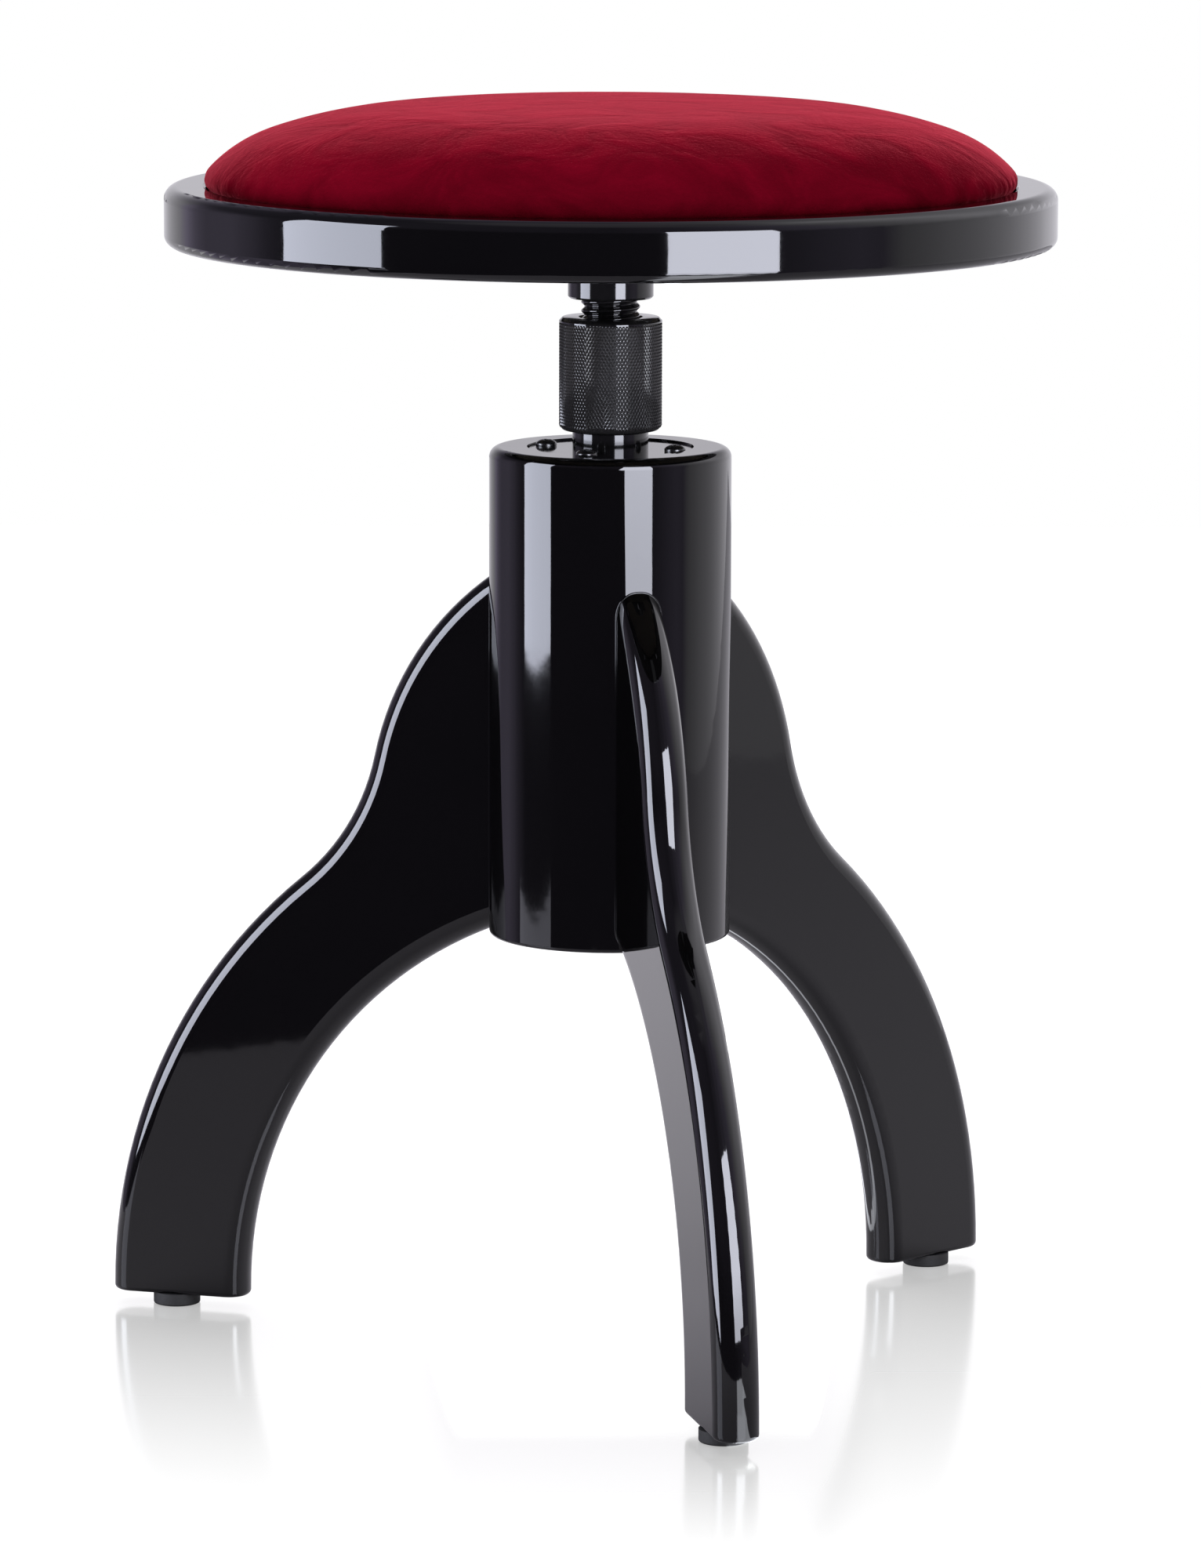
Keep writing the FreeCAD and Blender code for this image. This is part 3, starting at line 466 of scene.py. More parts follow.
def cushion_tucks(points, seed, count):
    """Short slanted pinches low on the cushion's side, where the velvet goes down behind the ring."""
    pick = np.random.default_rng(seed)
    facing = math.radians(CAMERA_AZIMUTH - 90)
    spots = [(facing + math.radians(-22.8), 11.0, 1.1, 0.35), (facing + math.radians(-12.3), 8.0, 0.9, 0.3)]
    for index in range(count):
        spots.append((
            facing + math.radians(18 + (320.0 * index + pick.uniform(-60, 60)) / count),
            pick.uniform(5, 10), pick.uniform(0.25, 0.6), pick.uniform(-0.5, 0.5),
        ))
    radius = np.hypot(points[:, 0], points[:, 1])
    angle = np.arctan2(points[:, 1], points[:, 0])
    rise = (points[:, 2] - RING_TOP) / MM
    on_side = (radius > 0.14) & (rise > -4)
    pinch_width, swell_place, swell_width = 1.9, 5.0, 3.2
    for where, height, depth, slant in spots:
        turn = (angle - where + math.pi) % (2 * math.pi) - math.pi
        across = turn * radius / MM - slant * rise
        pinch = np.exp(-(across / pinch_width) ** 2) * np.clip(1 - rise / height, 0, 1) ** 0.7
        beside = (np.abs(across) - swell_place) / swell_width
        swell = np.exp(-beside ** 2) * np.clip(1 - rise / (1.6 * height), 0, 1)
        change = (swell * 0.25 - pinch) * on_side * depth * MM
        points[:, 0] += np.cos(angle) * change
        points[:, 1] += np.sin(angle) * change
    return points


def inflate(made, least, most):
    """Swells the pad under pressure, with its flat bottom held.

    Gives the points at rest, their normals, and how far each goes out, from least to most."""
    frames = 20
    start = np.array([v.co for v in made.data.vertices])
    floor = start[:, 2].min()
    held = made.vertex_groups.new(name="held")
    held.add([int(i) for i in np.nonzero(start[:, 2] < floor + 0.003)[0]], 1.0, "REPLACE")
    cloth = made.modifiers.new("Cloth", "CLOTH")
    cloth.settings.use_pressure = True
    cloth.settings.uniform_pressure_force = 4.0
    cloth.settings.effector_weights.gravity = 0.0
    cloth.settings.vertex_group_mass = "held"
    cloth.settings.quality = 5
    scene = bpy.context.scene
    cloth.point_cache.frame_start = 1
    cloth.point_cache.frame_end = frames
    for step in range(1, frames + 1):
        scene.frame_set(step)
        bpy.context.view_layer.update()
    graph = bpy.context.evaluated_depsgraph_get()
    swollen = made.evaluated_get(graph).data
    moved = np.array([v.co for v in swollen.vertices]) - start
    normals = np.array([v.normal for v in made.data.vertices])
    made.modifiers.remove(cloth)
    made.vertex_groups.clear()
    scene.frame_set(1)
    along = (moved * normals).sum(1)
    spread = np.clip(along / (np.percentile(along, 90) + 1e-9), 0, 1)
    return start, normals, least + (most - least) * spread


def on_cover(start, normals, swell, base):
    """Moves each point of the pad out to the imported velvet, and then along its normal by its own swell."""
    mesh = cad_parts["cushion_cover"].data
    cover = BVHTree.FromPolygons([v.co for v in mesh.vertices], [p.vertices for p in mesh.polygons])
    points = start.copy()
    for index, (place, normal) in enumerate(zip(start, normals)):
        if place[2] < base + 0.4 * MM:
            continue
        way = Vector(normal)
        if place[2] < base + 6 * MM:
            way.z = 0.0
            way.normalize()
        points[index] = cover.find_nearest(Vector(place) + way * 3 * MM)[0] + way * swell[index]
    return points


def make_cushion(finish, quick, voxel):
    """The foam's shape swollen under its velvet, with tucks low on its side. A quick one isn't simulated."""
    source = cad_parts["cushion_foam"]
    made = bpy.data.objects.new("velvet_cushion", source.data.copy())
    bpy.context.scene.collection.objects.link(made)
    outward(made)
    remesh = made.modifiers.new("Remesh", "REMESH")
    remesh.mode = "VOXEL"
    remesh.voxel_size = voxel
    relax = made.modifiers.new("Relax", "SMOOTH")
    relax.iterations = 6
    relax.factor = 0.5
    mesh = settle(made)
    if quick:
        start = np.array([v.co for v in mesh.vertices])
        normals = np.array([v.normal for v in mesh.vertices])
        growth = np.full(len(start), 1.4 * MM)
    else:
        start, normals, growth = inflate(made, 1.2 * MM, 1.5 * MM)
    base = BOARD_HIGH[2]
    points = on_cover(start, normals, growth - growth.mean(), base)
    points[:, 2] = np.maximum(points[:, 2], base)
    mesh.vertices.foreach_set("co", points.ravel())
    mesh.update()
    finer = made.modifiers.new("Finer", "SUBSURF")
    finer.levels = finer.render_levels = 1
    mesh = settle(made)
    points = cushion_tucks(np.array([v.co for v in mesh.vertices]), seed=5, count=14)
    mesh.vertices.foreach_set("co", points.ravel())
    mesh.update()
    join_skirt(made)
    mesh.materials.clear()
    mesh.materials.append(finish)
    mesh.polygons.foreach_set("material_index", [0] * len(mesh.polygons))
    mesh.polygons.foreach_set("use_smooth", [True] * len(mesh.polygons))
    return made


def join_skirt(made):
    """Adds the velvet's skirt down the board's edge and its hem under the board, as a thin closed band."""
    low, high = COVER_FOOT, BOARD_HIGH[2] + 0.6 * MM
    inner = BOARD_HIGH[0] + 0.1 * MM
    under = BOARD_LOW[2] - 0.02 * MM
    bottom = low + 0.02 * MM
    outline = [
        (COVER_SIDE, high), (inner, high), (inner, under), (HEM_INNER + 0.6 * MM, under),
        (HEM_INNER, (low + under) / 2), (HEM_INNER + 0.6 * MM, bottom), (COVER_SIDE - 0.8 * MM, bottom),
        (COVER_SIDE, low + 0.8 * MM),
    ]
    skirt = turned("skirt", outline, 192)
    work = bmesh.new()
    work.from_mesh(made.data)
    work.from_mesh(skirt.data)
    work.to_mesh(made.data)
    work.free()
    bpy.data.objects.remove(skirt)


# Spindle and nut


def thread_tree(finish, pitch, depth, sides, steps, start, end, radius):
    """A rolled thread: a fine cylinder whose wall rises and falls along a right-hand helix."""
    shape = ShapeTree("Rolled thread", {
        "Finish": finish, "Radius": radius, "Pitch": pitch, "Depth": depth, "Sides": sides,
        "Steps Along": steps, "Thread Start": start, "Thread End": end,
        "Bottom": SPINDLE_LOW[2], "Length": SPINDLE_HIGH[2] - SPINDLE_LOW[2],
        "Chamfer": 1.2 * MM,
    })
    desk = shape.desk
    bar = desk.add("GeometryNodeMeshCylinder", {"fill_type": "TRIANGLE_FAN"}, {
        "Vertices": shape.input("Sides"), "Side Segments": shape.input("Steps Along"), "Fill Segments": 1,
        "Radius": shape.input("Radius"), "Depth": shape.input("Length"),
    })
    x, y, z = desk.split(desk.add("GeometryNodeInputPosition"))
    bottom, length, pitch_in = shape.inputs("Bottom", "Length", "Pitch")
    first, last = shape.inputs("Thread Start", "Thread End")
    height = z + length / 2 + bottom
    angle = y.math("ARCTAN2", x)
    phase = height / pitch_in - angle / (2 * math.pi)
    wave = (phase * (2 * math.pi)).math("COSINE") * 0.5 + 0.5
    fade_in = desk.smooth_step(height, first, first + pitch_in)
    fade_out = desk.smooth_step(height, last, last - pitch_in)
    groove = (1 - wave ** 0.8) * fade_in * fade_out * shape.input("Depth")
    room_below = height - bottom
    room_above = bottom + length - height
    nose = (shape.input("Chamfer") - room_below.math("MINIMUM", room_above)).math("MAXIMUM", 0.0)
    radius_now = (x * x + y * y).math("SQRT")
    cut = groove.math("MAXIMUM", nose) * (radius_now / shape.input("Radius"))
    share = (radius_now - cut) / radius_now.math("MAXIMUM", 0.0001)
    moved = desk.add("ShaderNodeCombineXYZ", None, [x * share, y * share, height])
    placed = desk.add("GeometryNodeSetPosition", None, {"Geometry": bar, "Position": moved})
    soft = desk.add("GeometryNodeSetShadeSmooth", None, {"Geometry": placed, "Shade Smooth": True})
    shape.finish(soft)
    return shape


def knurl_tree(finish, around, rows, low, high, radius, depth):
    """Rows of small blunt pyramids, each row half a step round from the one below, on a turned nut."""
    shape = ShapeTree("Knurled band", {
        "Finish": finish, "Count Around": around, "Rows": rows, "Low Edge": low, "High Edge": high,
        "Radius": radius, "Depth": depth, "Blunt": 0.24,
    })
    desk = shape.desk
    around_in, rows_in, radius_in, depth_in = shape.inputs("Count Around", "Rows", "Radius", "Depth")
    bottom, top = shape.inputs("Low Edge", "High Edge")
    row_height = (top - bottom) / (rows_in + 1)
    width = radius_in * (2 * math.pi) / around_in
    grid = desk.add("GeometryNodeMeshLine", None, {"Count": around_in * rows_in})
    index = desk.add("GeometryNodeInputIndex")
    row = (index / around_in).math("FLOOR")
    column = index - row * around_in
    angle = (column + row.math("MODULO", 2.0) * 0.5) * (2 * math.pi) / around_in
    height = bottom + (row + 1) * row_height
    seat = radius_in - depth_in
    place = desk.add("ShaderNodeCombineXYZ", None, [
        angle.math("COSINE") * seat, angle.math("SINE") * seat, height,
    ])
    lattice = desk.add("GeometryNodeSetPosition", None, {"Geometry": grid, "Position": place})
    bump = desk.add("GeometryNodeMeshCone", {"fill_type": "NGON"}, {
        "Vertices": 4, "Side Segments": 1, "Fill Segments": 1, "Radius Top": shape.input("Blunt"),
        "Radius Bottom": 1.06, "Depth": depth_in,
    })
    turn = desk.add("ShaderNodeCombineXYZ", None, [0.0, math.pi / 2, angle])
    size = desk.add("ShaderNodeCombineXYZ", None, [row_height, width * 0.5, 1.0])
    studs = desk.add("GeometryNodeInstanceOnPoints", None, {
        "Points": lattice, "Instance": bump, "Rotation": turn, "Scale": size,
    })
    shape.finish(desk.add("GeometryNodeJoinGeometry", None, {0: [shape.start, studs]}))
    return shape


def make_nut_body():
    """The turned nut without its knurls: chamfered top, rounded foot, grooved bore and a washer's pocket."""
    low, high = NUT_LOW[2] / MM, NUT_HIGH[2] / MM
    outside, bore, pocket = 20.3, 11.95, 15.8
    under_knurls = outside - 0.44
    foot_round, pocket_depth, pitch, root = 2.2, 2.3, 3.5, bore + 0.5
    outline = [
        (bore + 0.9, high), (outside - 1.4, high), (outside - 1.3, high - 0.04), (outside - 0.06, high - 1.3),
        (outside, high - 1.45), (outside, high - 1.95), (under_knurls, high - 2.15),
        (under_knurls, low + 2.3),
    ]
    outline += arc(under_knurls - foot_round, low + foot_round, foot_round, -4, -90, 9)
    outline += [
        (pocket + 0.4, low), (pocket, low + 0.4), (pocket, low + pocket_depth), (bore, low + pocket_depth),
    ]
    for turn in range(9):
        height = low + 5 + turn * pitch
        outline += [(bore, height), (root, height + 0.9), (root, height + 1.5), (bore, height + 2.4)]
    outline += [(bore, high - 0.9)]
    return smooth(turned("lock_nut_knurled", [(r * MM, z * MM) for r, z in outline], 192), 30)


# Screws


def cross_recess(width, reach, depth):
    """Sinks a cross in the middle of a screw's head, shallower towards the ends of its arms."""
    side_slope, end_slope = 0.12, 0.3

    def sunk(radius, height, angle):
        x, y = abs(radius * math.cos(angle)), abs(radius * math.sin(angle))
        across, along = min(x, y), max(x, y)
        inside = min(1.0, max(0.0, (width / 2 - across) / side_slope + 0.5))
        inside *= min(1.0, max(0.0, (reach - along) / end_slope + 0.5))
        return radius, height - inside * depth * (1 - 0.45 * along / reach)
    return sunk


def make_screw(name, head_radius, head_height, shank_radius, shank_length, domed):
    """A screw with its head up and the head's underside at the origin, in millimetres."""
    recess = cross_recess(0.95, head_radius * 0.52, head_height * 0.62)

    def head(radius, height, angle):
        """Lifts the points at a height of 1 to the head's face, with its cross. The others stay."""
        if height <= 0:
            return radius, height
        share = min(radius / head_radius, 1.0)
        face = head_height * math.sqrt(max(0.0, 1 - 0.86 * share ** 2.4)) if domed else head_height
        return recess(radius, face, angle)

    steps = 18
    outline = [(head_radius * (step / steps), 1.0) for step in range(steps + 1)]
    if domed:
        outline += [(head_radius, 0.0)]
    outline += [(shank_radius + (0.0 if domed else 0.3), 0.0), (shank_radius, -0.3)]
    pitch, root = 1.6, shank_radius * 0.82
    for turn in range(int((shank_length - 2.0) / pitch)):
        top = -0.8 - turn * pitch
        outline += [(root, top), (root, top - 0.9), (shank_radius, top - 1.2)]
    outline += [(shank_radius * 0.6, -shank_length + 0.8), (0.0, -shank_length)]
    made = turned(name, outline, 48, head)
    made.data.transform(Matrix.Scale(MM, 4))
    return smooth(made, 40)


def part_centres(node):
    """The middle of each separate solid of a CAD node."""
    work = welded(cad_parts[node].data)
    left = set(work.verts)
    centres = []
    while left:
        edge = [left.pop()]
        island = list(edge)
        while edge:
            vertex = edge.pop()
            for link in vertex.link_edges:
                other = link.other_vert(vertex)
                if other in left:
                    left.remove(other)
                    edge.append(other)
                    island.append(other)
        low = Vector([min(v.co[i] for v in island) for i in range(3)])
        high = Vector([max(v.co[i] for v in island) for i in range(3)])
        centres.append((low + high) / 2)
    work.free()
    return sorted(centres, key=lambda c: math.atan2(c.y, c.x))


def screw_tree(finish, screw, seed, flip):
    """One screw on each point, its cross turned by chance."""
    shape = ShapeTree("Screws on their places", {
        "Finish": finish, "Screw": screw, "Seed": seed, "Flip": flip,
    })
    desk = shape.desk
    held = desk.add("GeometryNodeObjectInfo", {"transform_space": "ORIGINAL"}, {
        "Object": shape.input("Screw"),
    }, "Geometry")
    spin = desk.add("FunctionNodeRandomValue", {"data_type": "FLOAT"}, {
        2: 0.0, 3: 2 * math.pi, "Seed": shape.input("Seed"),
    }, 1)
    turn = desk.add("ShaderNodeCombineXYZ", None, [shape.input("Flip"), 0.0, spin])
    studs = desk.add("GeometryNodeInstanceOnPoints", None, {
        "Points": shape.start, "Instance": held, "Rotation": turn,
    })
    shape.finish(studs)
    return shape


def make_screws(name, node, seat_height, screw, finish, seed, upside_down):
    """A screw at the middle of each solid of a CAD node, with its head's underside at one height."""
    points = [(c.x, c.y, seat_height) for c in part_centres(node)]
    made = mesh_object(name, points, [])
    screw_tree(finish, screw, seed, math.pi if upside_down else 0.0).run(made)
    bpy.data.objects.remove(screw)
    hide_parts(node)
    return made


# Lacquer drawn into the corner between each leg and the column


def corner_path(node, radius):
    """The sharp edges of a leg that lie on the column's wall, as points and the pairs that they join."""
    work = welded(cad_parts[node].data, 1e-6)
    on_wall = {v for v in work.verts if abs(math.hypot(v.co.x, v.co.y) - radius) < 0.0001}
    points, pairs, number = [], [], {}
    for edge in work.edges:
        if not on_wall.issuperset(edge.verts) or len(edge.link_faces) != 2:
            continue
        if edge.calc_face_angle() > math.radians(20):
            for vertex in edge.verts:
                if vertex not in number:
                    number[vertex] = len(points)
                    points.append(tuple(vertex.co))
            pairs.append([number[vertex] for vertex in edge.verts])
    work.free()
    return points, pairs


def bead_tree(finish, radius, spacing):
    """A thin round bead along a path."""
    shape = ShapeTree("Bead along a corner", {"Finish": finish, "Radius": radius, "Spacing": spacing})
    desk = shape.desk
    path = desk.add("GeometryNodeMeshToCurve", None, {"Mesh": shape.start})
    even = desk.add("GeometryNodeResampleCurve", {"mode": "LENGTH"}, {
        "Curve": path, "Length": shape.input("Spacing"),
    })
    circle = desk.add("GeometryNodeCurvePrimitiveCircle", None, {
        "Resolution": 8, "Radius": shape.input("Radius"),
    })
    tube = desk.add("GeometryNodeCurveToMesh", None, {
        "Curve": even, "Profile Curve": circle, "Fill Caps": True,
    })
    soft = desk.add("GeometryNodeSetShadeSmooth", None, {"Geometry": tube, "Shade Smooth": True})
    shape.finish(soft)
    return shape


# Stage


def facing_axes():
    """The camera's directions to its right, up and back."""
    a, e, r = (math.radians(v) for v in (CAMERA_AZIMUTH, CAMERA_PITCH, CAMERA_ROLL))
    back = Vector((math.sin(a) * math.cos(e), -math.cos(a) * math.cos(e), math.sin(e)))
    right = Vector((math.cos(a), math.sin(a), 0))
    up = back.cross(right)
    return math.cos(r) * right + math.sin(r) * up, -math.sin(r) * right + math.cos(r) * up, back


def make_camera():
    right, up, back = facing_axes()
    camera = bpy.data.objects.new("Camera", bpy.data.cameras.new("Camera"))
    camera.data.sensor_width = 36.0
    camera.data.sensor_fit = "AUTO"
    camera.data.lens = CAMERA_LENS
    camera.data.clip_start = 0.1
    camera.data.clip_end = 50.0
    place = Matrix((right, up, back)).transposed().to_4x4()
    place.translation = Vector(CAMERA_PLACE)
    camera.matrix_world = place
    bpy.context.scene.collection.objects.link(camera)
    bpy.context.scene.camera = camera


# What the gloss mirrors round the stool, level with it and above it: degrees to the right of the camera, and
# the light that comes from there
LEVEL_LIGHT = [
    (-180, 0.80), (-164, 0.82), (-155, 0.72), (-147, 0.64), (-140, 0.46), (-134, 0.30), (-127, 0.24),
    (-120, 0.30), (-113, 0.36), (-104, 0.29), (-99, 0.20), (-88, 0.06), (-30, 0.06), (12, 0.065), (45, 0.15),
    (56, 0.24), (66, 0.30), (73, 0.26), (80, 0.60), (95, 0.84), (110, 0.96), (132, 1.16), (150, 1.22),
    (170, 0.90), (180, 0.80),
]
UPPER_LIGHT = [
    (-180, 0.18), (-160, 0.19), (-140, 0.10), (-100, 0.11), (-60, 0.16), (-20, 0.14), (0, 0.12), (20, 0.20),
    (40, 0.32), (60, 0.48), (80, 0.88), (100, 1.35), (118, 1.55), (140, 0.85), (160, 0.50), (180, 0.18),
]
DIM_TINT = (1.06, 0.95, 1.30)
BRIGHT_TINT = (0.97, 0.95, 1.02)
STRONGEST_LIGHT = 1.6

# Each lamp's bearing in degrees to the right of the camera, distance from the axis, size, middle height and
# light. One that aims at a height lights matt surfaces and isn't mirrored. The others stand upright, and only
# the gloss shows them.
LAMPS = {
    "left_softbox": dict(
        bearing=-73.3, distance=2.2, width=1.204, height=1.72, middle=0.82, light=(9.5, 9.9, 11.6)),
    "left_spill": dict(
        bearing=-76, distance=2.25, width=1.5, height=0.28, middle=-0.36, light=(1.3, 1.3, 1.5)),
    "right_softbox": dict(
        bearing=26.2, distance=1.0, width=0.469, height=0.735, middle=0.4825, light=(13.4, 13.7, 15.6),
        foot_share=0.70),
    "top_light": dict(
        bearing=-160, distance=0.9, width=1.1, height=1.1, middle=1.55, light=(3.7, 3.7, 3.7), aim=0.4),
    "back_light": dict(
        bearing=-168, distance=1.6, width=1.6, height=0.8, middle=1.1, light=(5.5, 5.5, 5.5), aim=0.45),
}


def light_round(desk, turns, lights):
    """A ring of light by bearing. Its ramp holds shares of the strongest light, which it is multiplied by."""
    stops = []
    for degrees, light in lights:
        tint = DIM_TINT if light < 0.5 else BRIGHT_TINT
        stops.append(((degrees + 180) / 360, [part * light / STRONGEST_LIGHT for part in tint]))
    ramp = desk.add("ShaderNodeValToRGB", {"stops": stops}, {"Fac": turns})
    return desk.add("ShaderNodeMix", {"data_type": "RGBA", "blend_type": "MULTIPLY"}, {
        0: 1.0, 6: ramp, 7: colour4([STRONGEST_LIGHT] * 3),
    }, 2)


def make_world(level):
    """White to the camera, an even level to matt surfaces, and the measured room to the gloss."""
    world = bpy.data.worlds.new("Studio")
    world.use_nodes = True
    bpy.context.scene.world = world
    desk = Desk(world.node_tree)
    x, y, rise = desk.split(desk.add("ShaderNodeTexCoord", output="Generated"))
    bearing = y.math("ARCTAN2", x) + math.radians(90 - CAMERA_AZIMUTH + 180)
    turns = (bearing / (2 * math.pi)).math("FRACT")

    # From the level ring to the upper one as the way rises, and then to the ceiling
    level_ring = light_round(desk, turns, LEVEL_LIGHT)
    upper_ring = light_round(desk, turns, UPPER_LIGHT)
    walls = desk.mix(desk.smooth_step(rise, 0.10, 0.46), level_ring, upper_ring)
    room = desk.mix(desk.smooth_step(rise, 0.88, 0.98), walls, (0.40, 0.38, 0.44, 1.0))
    ray = desk.add("ShaderNodeLightPath")
    seen = ray.output("Is Camera Ray").math("MAXIMUM", ray.output("Is Transmission Ray"))
    lit = desk.mix(ray.output("Is Glossy Ray"), (level, level, level * 1.01, 1.0), room)
    colour = desk.mix(seen, lit, WHITE)
    background = desk.add("ShaderNodeBackground", None, {"Color": colour, "Strength": 1.0})
    desk.add("ShaderNodeOutputWorld", None, {"Surface": background})


def make_lamp(name, bearing, distance, width, height, middle, light, aim=None, foot_share=None):
    """A soft box that faces the stool. It may be dimmer towards its foot."""
    data = bpy.data.lights.new(name, "AREA")
    data.shape = "RECTANGLE"
    data.size = width
    data.size_y = height
    strongest = max(light)
    data.color = [part / strongest for part in light]
    data.energy = strongest * math.pi * width * height
    if foot_share is not None:
        data.use_nodes = True
        desk = Desk(data.node_tree)
        rise = desk.split(desk.add("ShaderNodeNewGeometry", output="Position"))[2]
        strength = foot_share + desk.smooth_step(rise, 0.13, 0.36) * (1 - foot_share)
        desk.add("ShaderNodeOutputLight", None, {"Surface": desk.glow(WHITE, strength)})
    lamp = bpy.data.objects.new(name, data)
    angle = math.radians(CAMERA_AZIMUTH - 90 + bearing)
    place = Vector((math.cos(angle) * distance, math.sin(angle) * distance, middle))
    upright = aim is None
    back = (place - Vector((0, 0, middle if upright else aim))).normalized()
    lamp.matrix_world = Matrix.Translation(place) @ back.to_track_quat("Z", "Y").to_matrix().to_4x4()
    bpy.context.scene.collection.objects.link(lamp)
    lamp.visible_camera = False
    lamp.visible_diffuse = not upright
    lamp.visible_glossy = upright
    lamp.visible_transmission = False


def make_floor(left_side, right_side, front, mirror):
    """A pale table top: white to the camera, with a reflection below each foot that dies away to the front.

    The gloss sees its grey with painted shade to the front, a little shine, and a glowing painted patch of
    the right soft box's light."""
    turn = math.radians(CAMERA_AZIMUTH)
    across = Vector((math.cos(turn), math.sin(turn), 0))
    toward = Vector((across.y, -across.x, 0))
    far_side, just_below = -2.6, -0.00005
    corners = [across * u + toward * v for u, v in (
        (left_side, far_side), (left_side, front * 0.4), (left_side * 0.5, front),
        (right_side, front), (right_side, far_side),
    )]
    floor = mesh_object("floor", [(c.x, c.y, just_below) for c in corners], [(0, 1, 2, 3, 4)])
    material, desk, place = new_finish("pale_table")

    # u runs to the camera's right and v towards it. The left, right and front feet have a strip of u each.
    x, y = desk.split(place)[:2]
    u = x * across.x + y * across.y
    v = x * toward.x + y * toward.y
    left = 1 - desk.smooth_step(u, -0.085, -0.055)
    right = desk.smooth_step(u, 0.075, 0.105)
    middle = 1 - left - right

    # To the camera: white, and a blurred mirror that starts at each foot
    start = left * -0.045 + right * -0.117 + middle * 0.188
    end = left * 0.325 + right * 0.325 + middle * 0.350
    fade = (1 - ((v - start) / (end - start)).clamped()) ** 1.1
    fade = fade * desk.smooth_step(v, start - 0.03, start - 0.005)
    paper = desk.add("ShaderNodeBsdfDiffuse", None, {"Color": (0.82, 0.82, 0.82, 1.0)})
    white = desk.blend(0.76, paper, desk.glow(WHITE, 1.0))
    lifted = desk.add("ShaderNodeAddShader", None, [white, desk.glow(WHITE, 0.12)])
    shown = desk.blend(fade * mirror, lifted, desk.gloss((1.56, 1.58, 1.48, 1.0), 0.13))

    # To the gloss: grey with painted shade that darkens it to the front, a little shine, and a glowing patch
    # of painted light from the right soft box, between two lines that fan out to the front
    # Painted shade: the grey darkens towards the front, where less light falls on the table
    grey = desk.mix(desk.smooth_step(v, -0.3, 0.3), (0.52, 0.505, 0.55, 1.0), (0.45, 0.43, 0.48, 1.0))
    matt = desk.add("ShaderNodeBsdfDiffuse", None, {"Color": grey})
    polished = desk.blend(0.10, matt, desk.gloss((0.9, 0.9, 0.9, 1.0), 0.06))
    # Painted light: the table glows in this patch to stand for the right soft box's light on it. No lamp
    # lights it there.
    lean = (u - 0.035) / (v - 0.15).math("MAXIMUM", 0.02)
    lit = desk.smooth_step(lean, 0.24, 0.28) * (1 - desk.smooth_step(lean, 0.76, 0.82)) * 4.0
    table = desk.add("ShaderNodeAddShader", None, [polished, desk.glow((0.90, 0.93, 1.0, 1.0), lit)])

    ray = desk.add("ShaderNodeLightPath")
    unseen = desk.blend(ray.output("Is Glossy Ray"), paper, table)
    both = desk.blend(ray.output("Is Camera Ray"), unseen, shown)
    desk.add("ShaderNodeOutputMaterial", None, {"Surface": both})
    floor.data.materials.append(material)


# Add-on


class StoolColours(bpy.types.PropertyGroup):
    velvet: bpy.props.FloatVectorProperty(
        name="Velvet", description="Colour of the cushion's pile", subtype="COLOR",
        default=(0.125, 0.0012, 0.0085), min=0, max=1)
    lacquer: bpy.props.FloatVectorProperty(
        name="Lacquer", description="Colour under the gloss of the column, legs and seat ring",
        subtype="COLOR", default=(0.0016, 0.0015, 0.0018), min=0, max=1)


class StoolSizes(bpy.types.PropertyGroup):
    thread_pitch: bpy.props.FloatProperty(
        name="Thread pitch", description="Rise of the seat in one turn", unit="LENGTH", default=0.0035,
        min=0.001, max=0.01)
    thread_depth: bpy.props.FloatProperty(
        name="Thread depth", description="From the thread's crest to its root", unit="LENGTH", default=0.0014,
        min=0.0002, max=0.003)
    knurl_count: bpy.props.IntProperty(
        name="Knurls around", description="Diamonds in one row round the lock nut", default=93,
        min=24, max=240)
    knurl_rows: bpy.props.IntProperty(
        name="Knurl rows", description="Rows of diamonds up the lock nut", default=33, min=5, max=120)
    knurl_depth: bpy.props.FloatProperty(
        name="Knurl depth", description="Height of a diamond over its groove", unit="LENGTH", default=0.00042,
        min=0.00005, max=0.001)
    bead_radius: bpy.props.FloatProperty(
        name="Corner bead", description="Radius of the lacquer drawn into the corner at each leg",
        unit="LENGTH", default=0.00045, min=0.0002, max=0.003)
    cushion_voxel: bpy.props.FloatProperty(
        name="Cushion mesh", description="Size of the cushion's mesh before it is made finer", unit="LENGTH",
        default=0.004, min=0.003, max=0.01)
    plain_level: bpy.props.FloatProperty(
        name="Light level", description="Light from all round, at which 1 shows a colour as written",
        default=0.86, min=0, max=3)
    mirror: bpy.props.FloatProperty(
        name="Table mirror", description="Share of the table's light that its mirror takes under a foot",
        subtype="FACTOR", default=0.5, min=0, max=1)


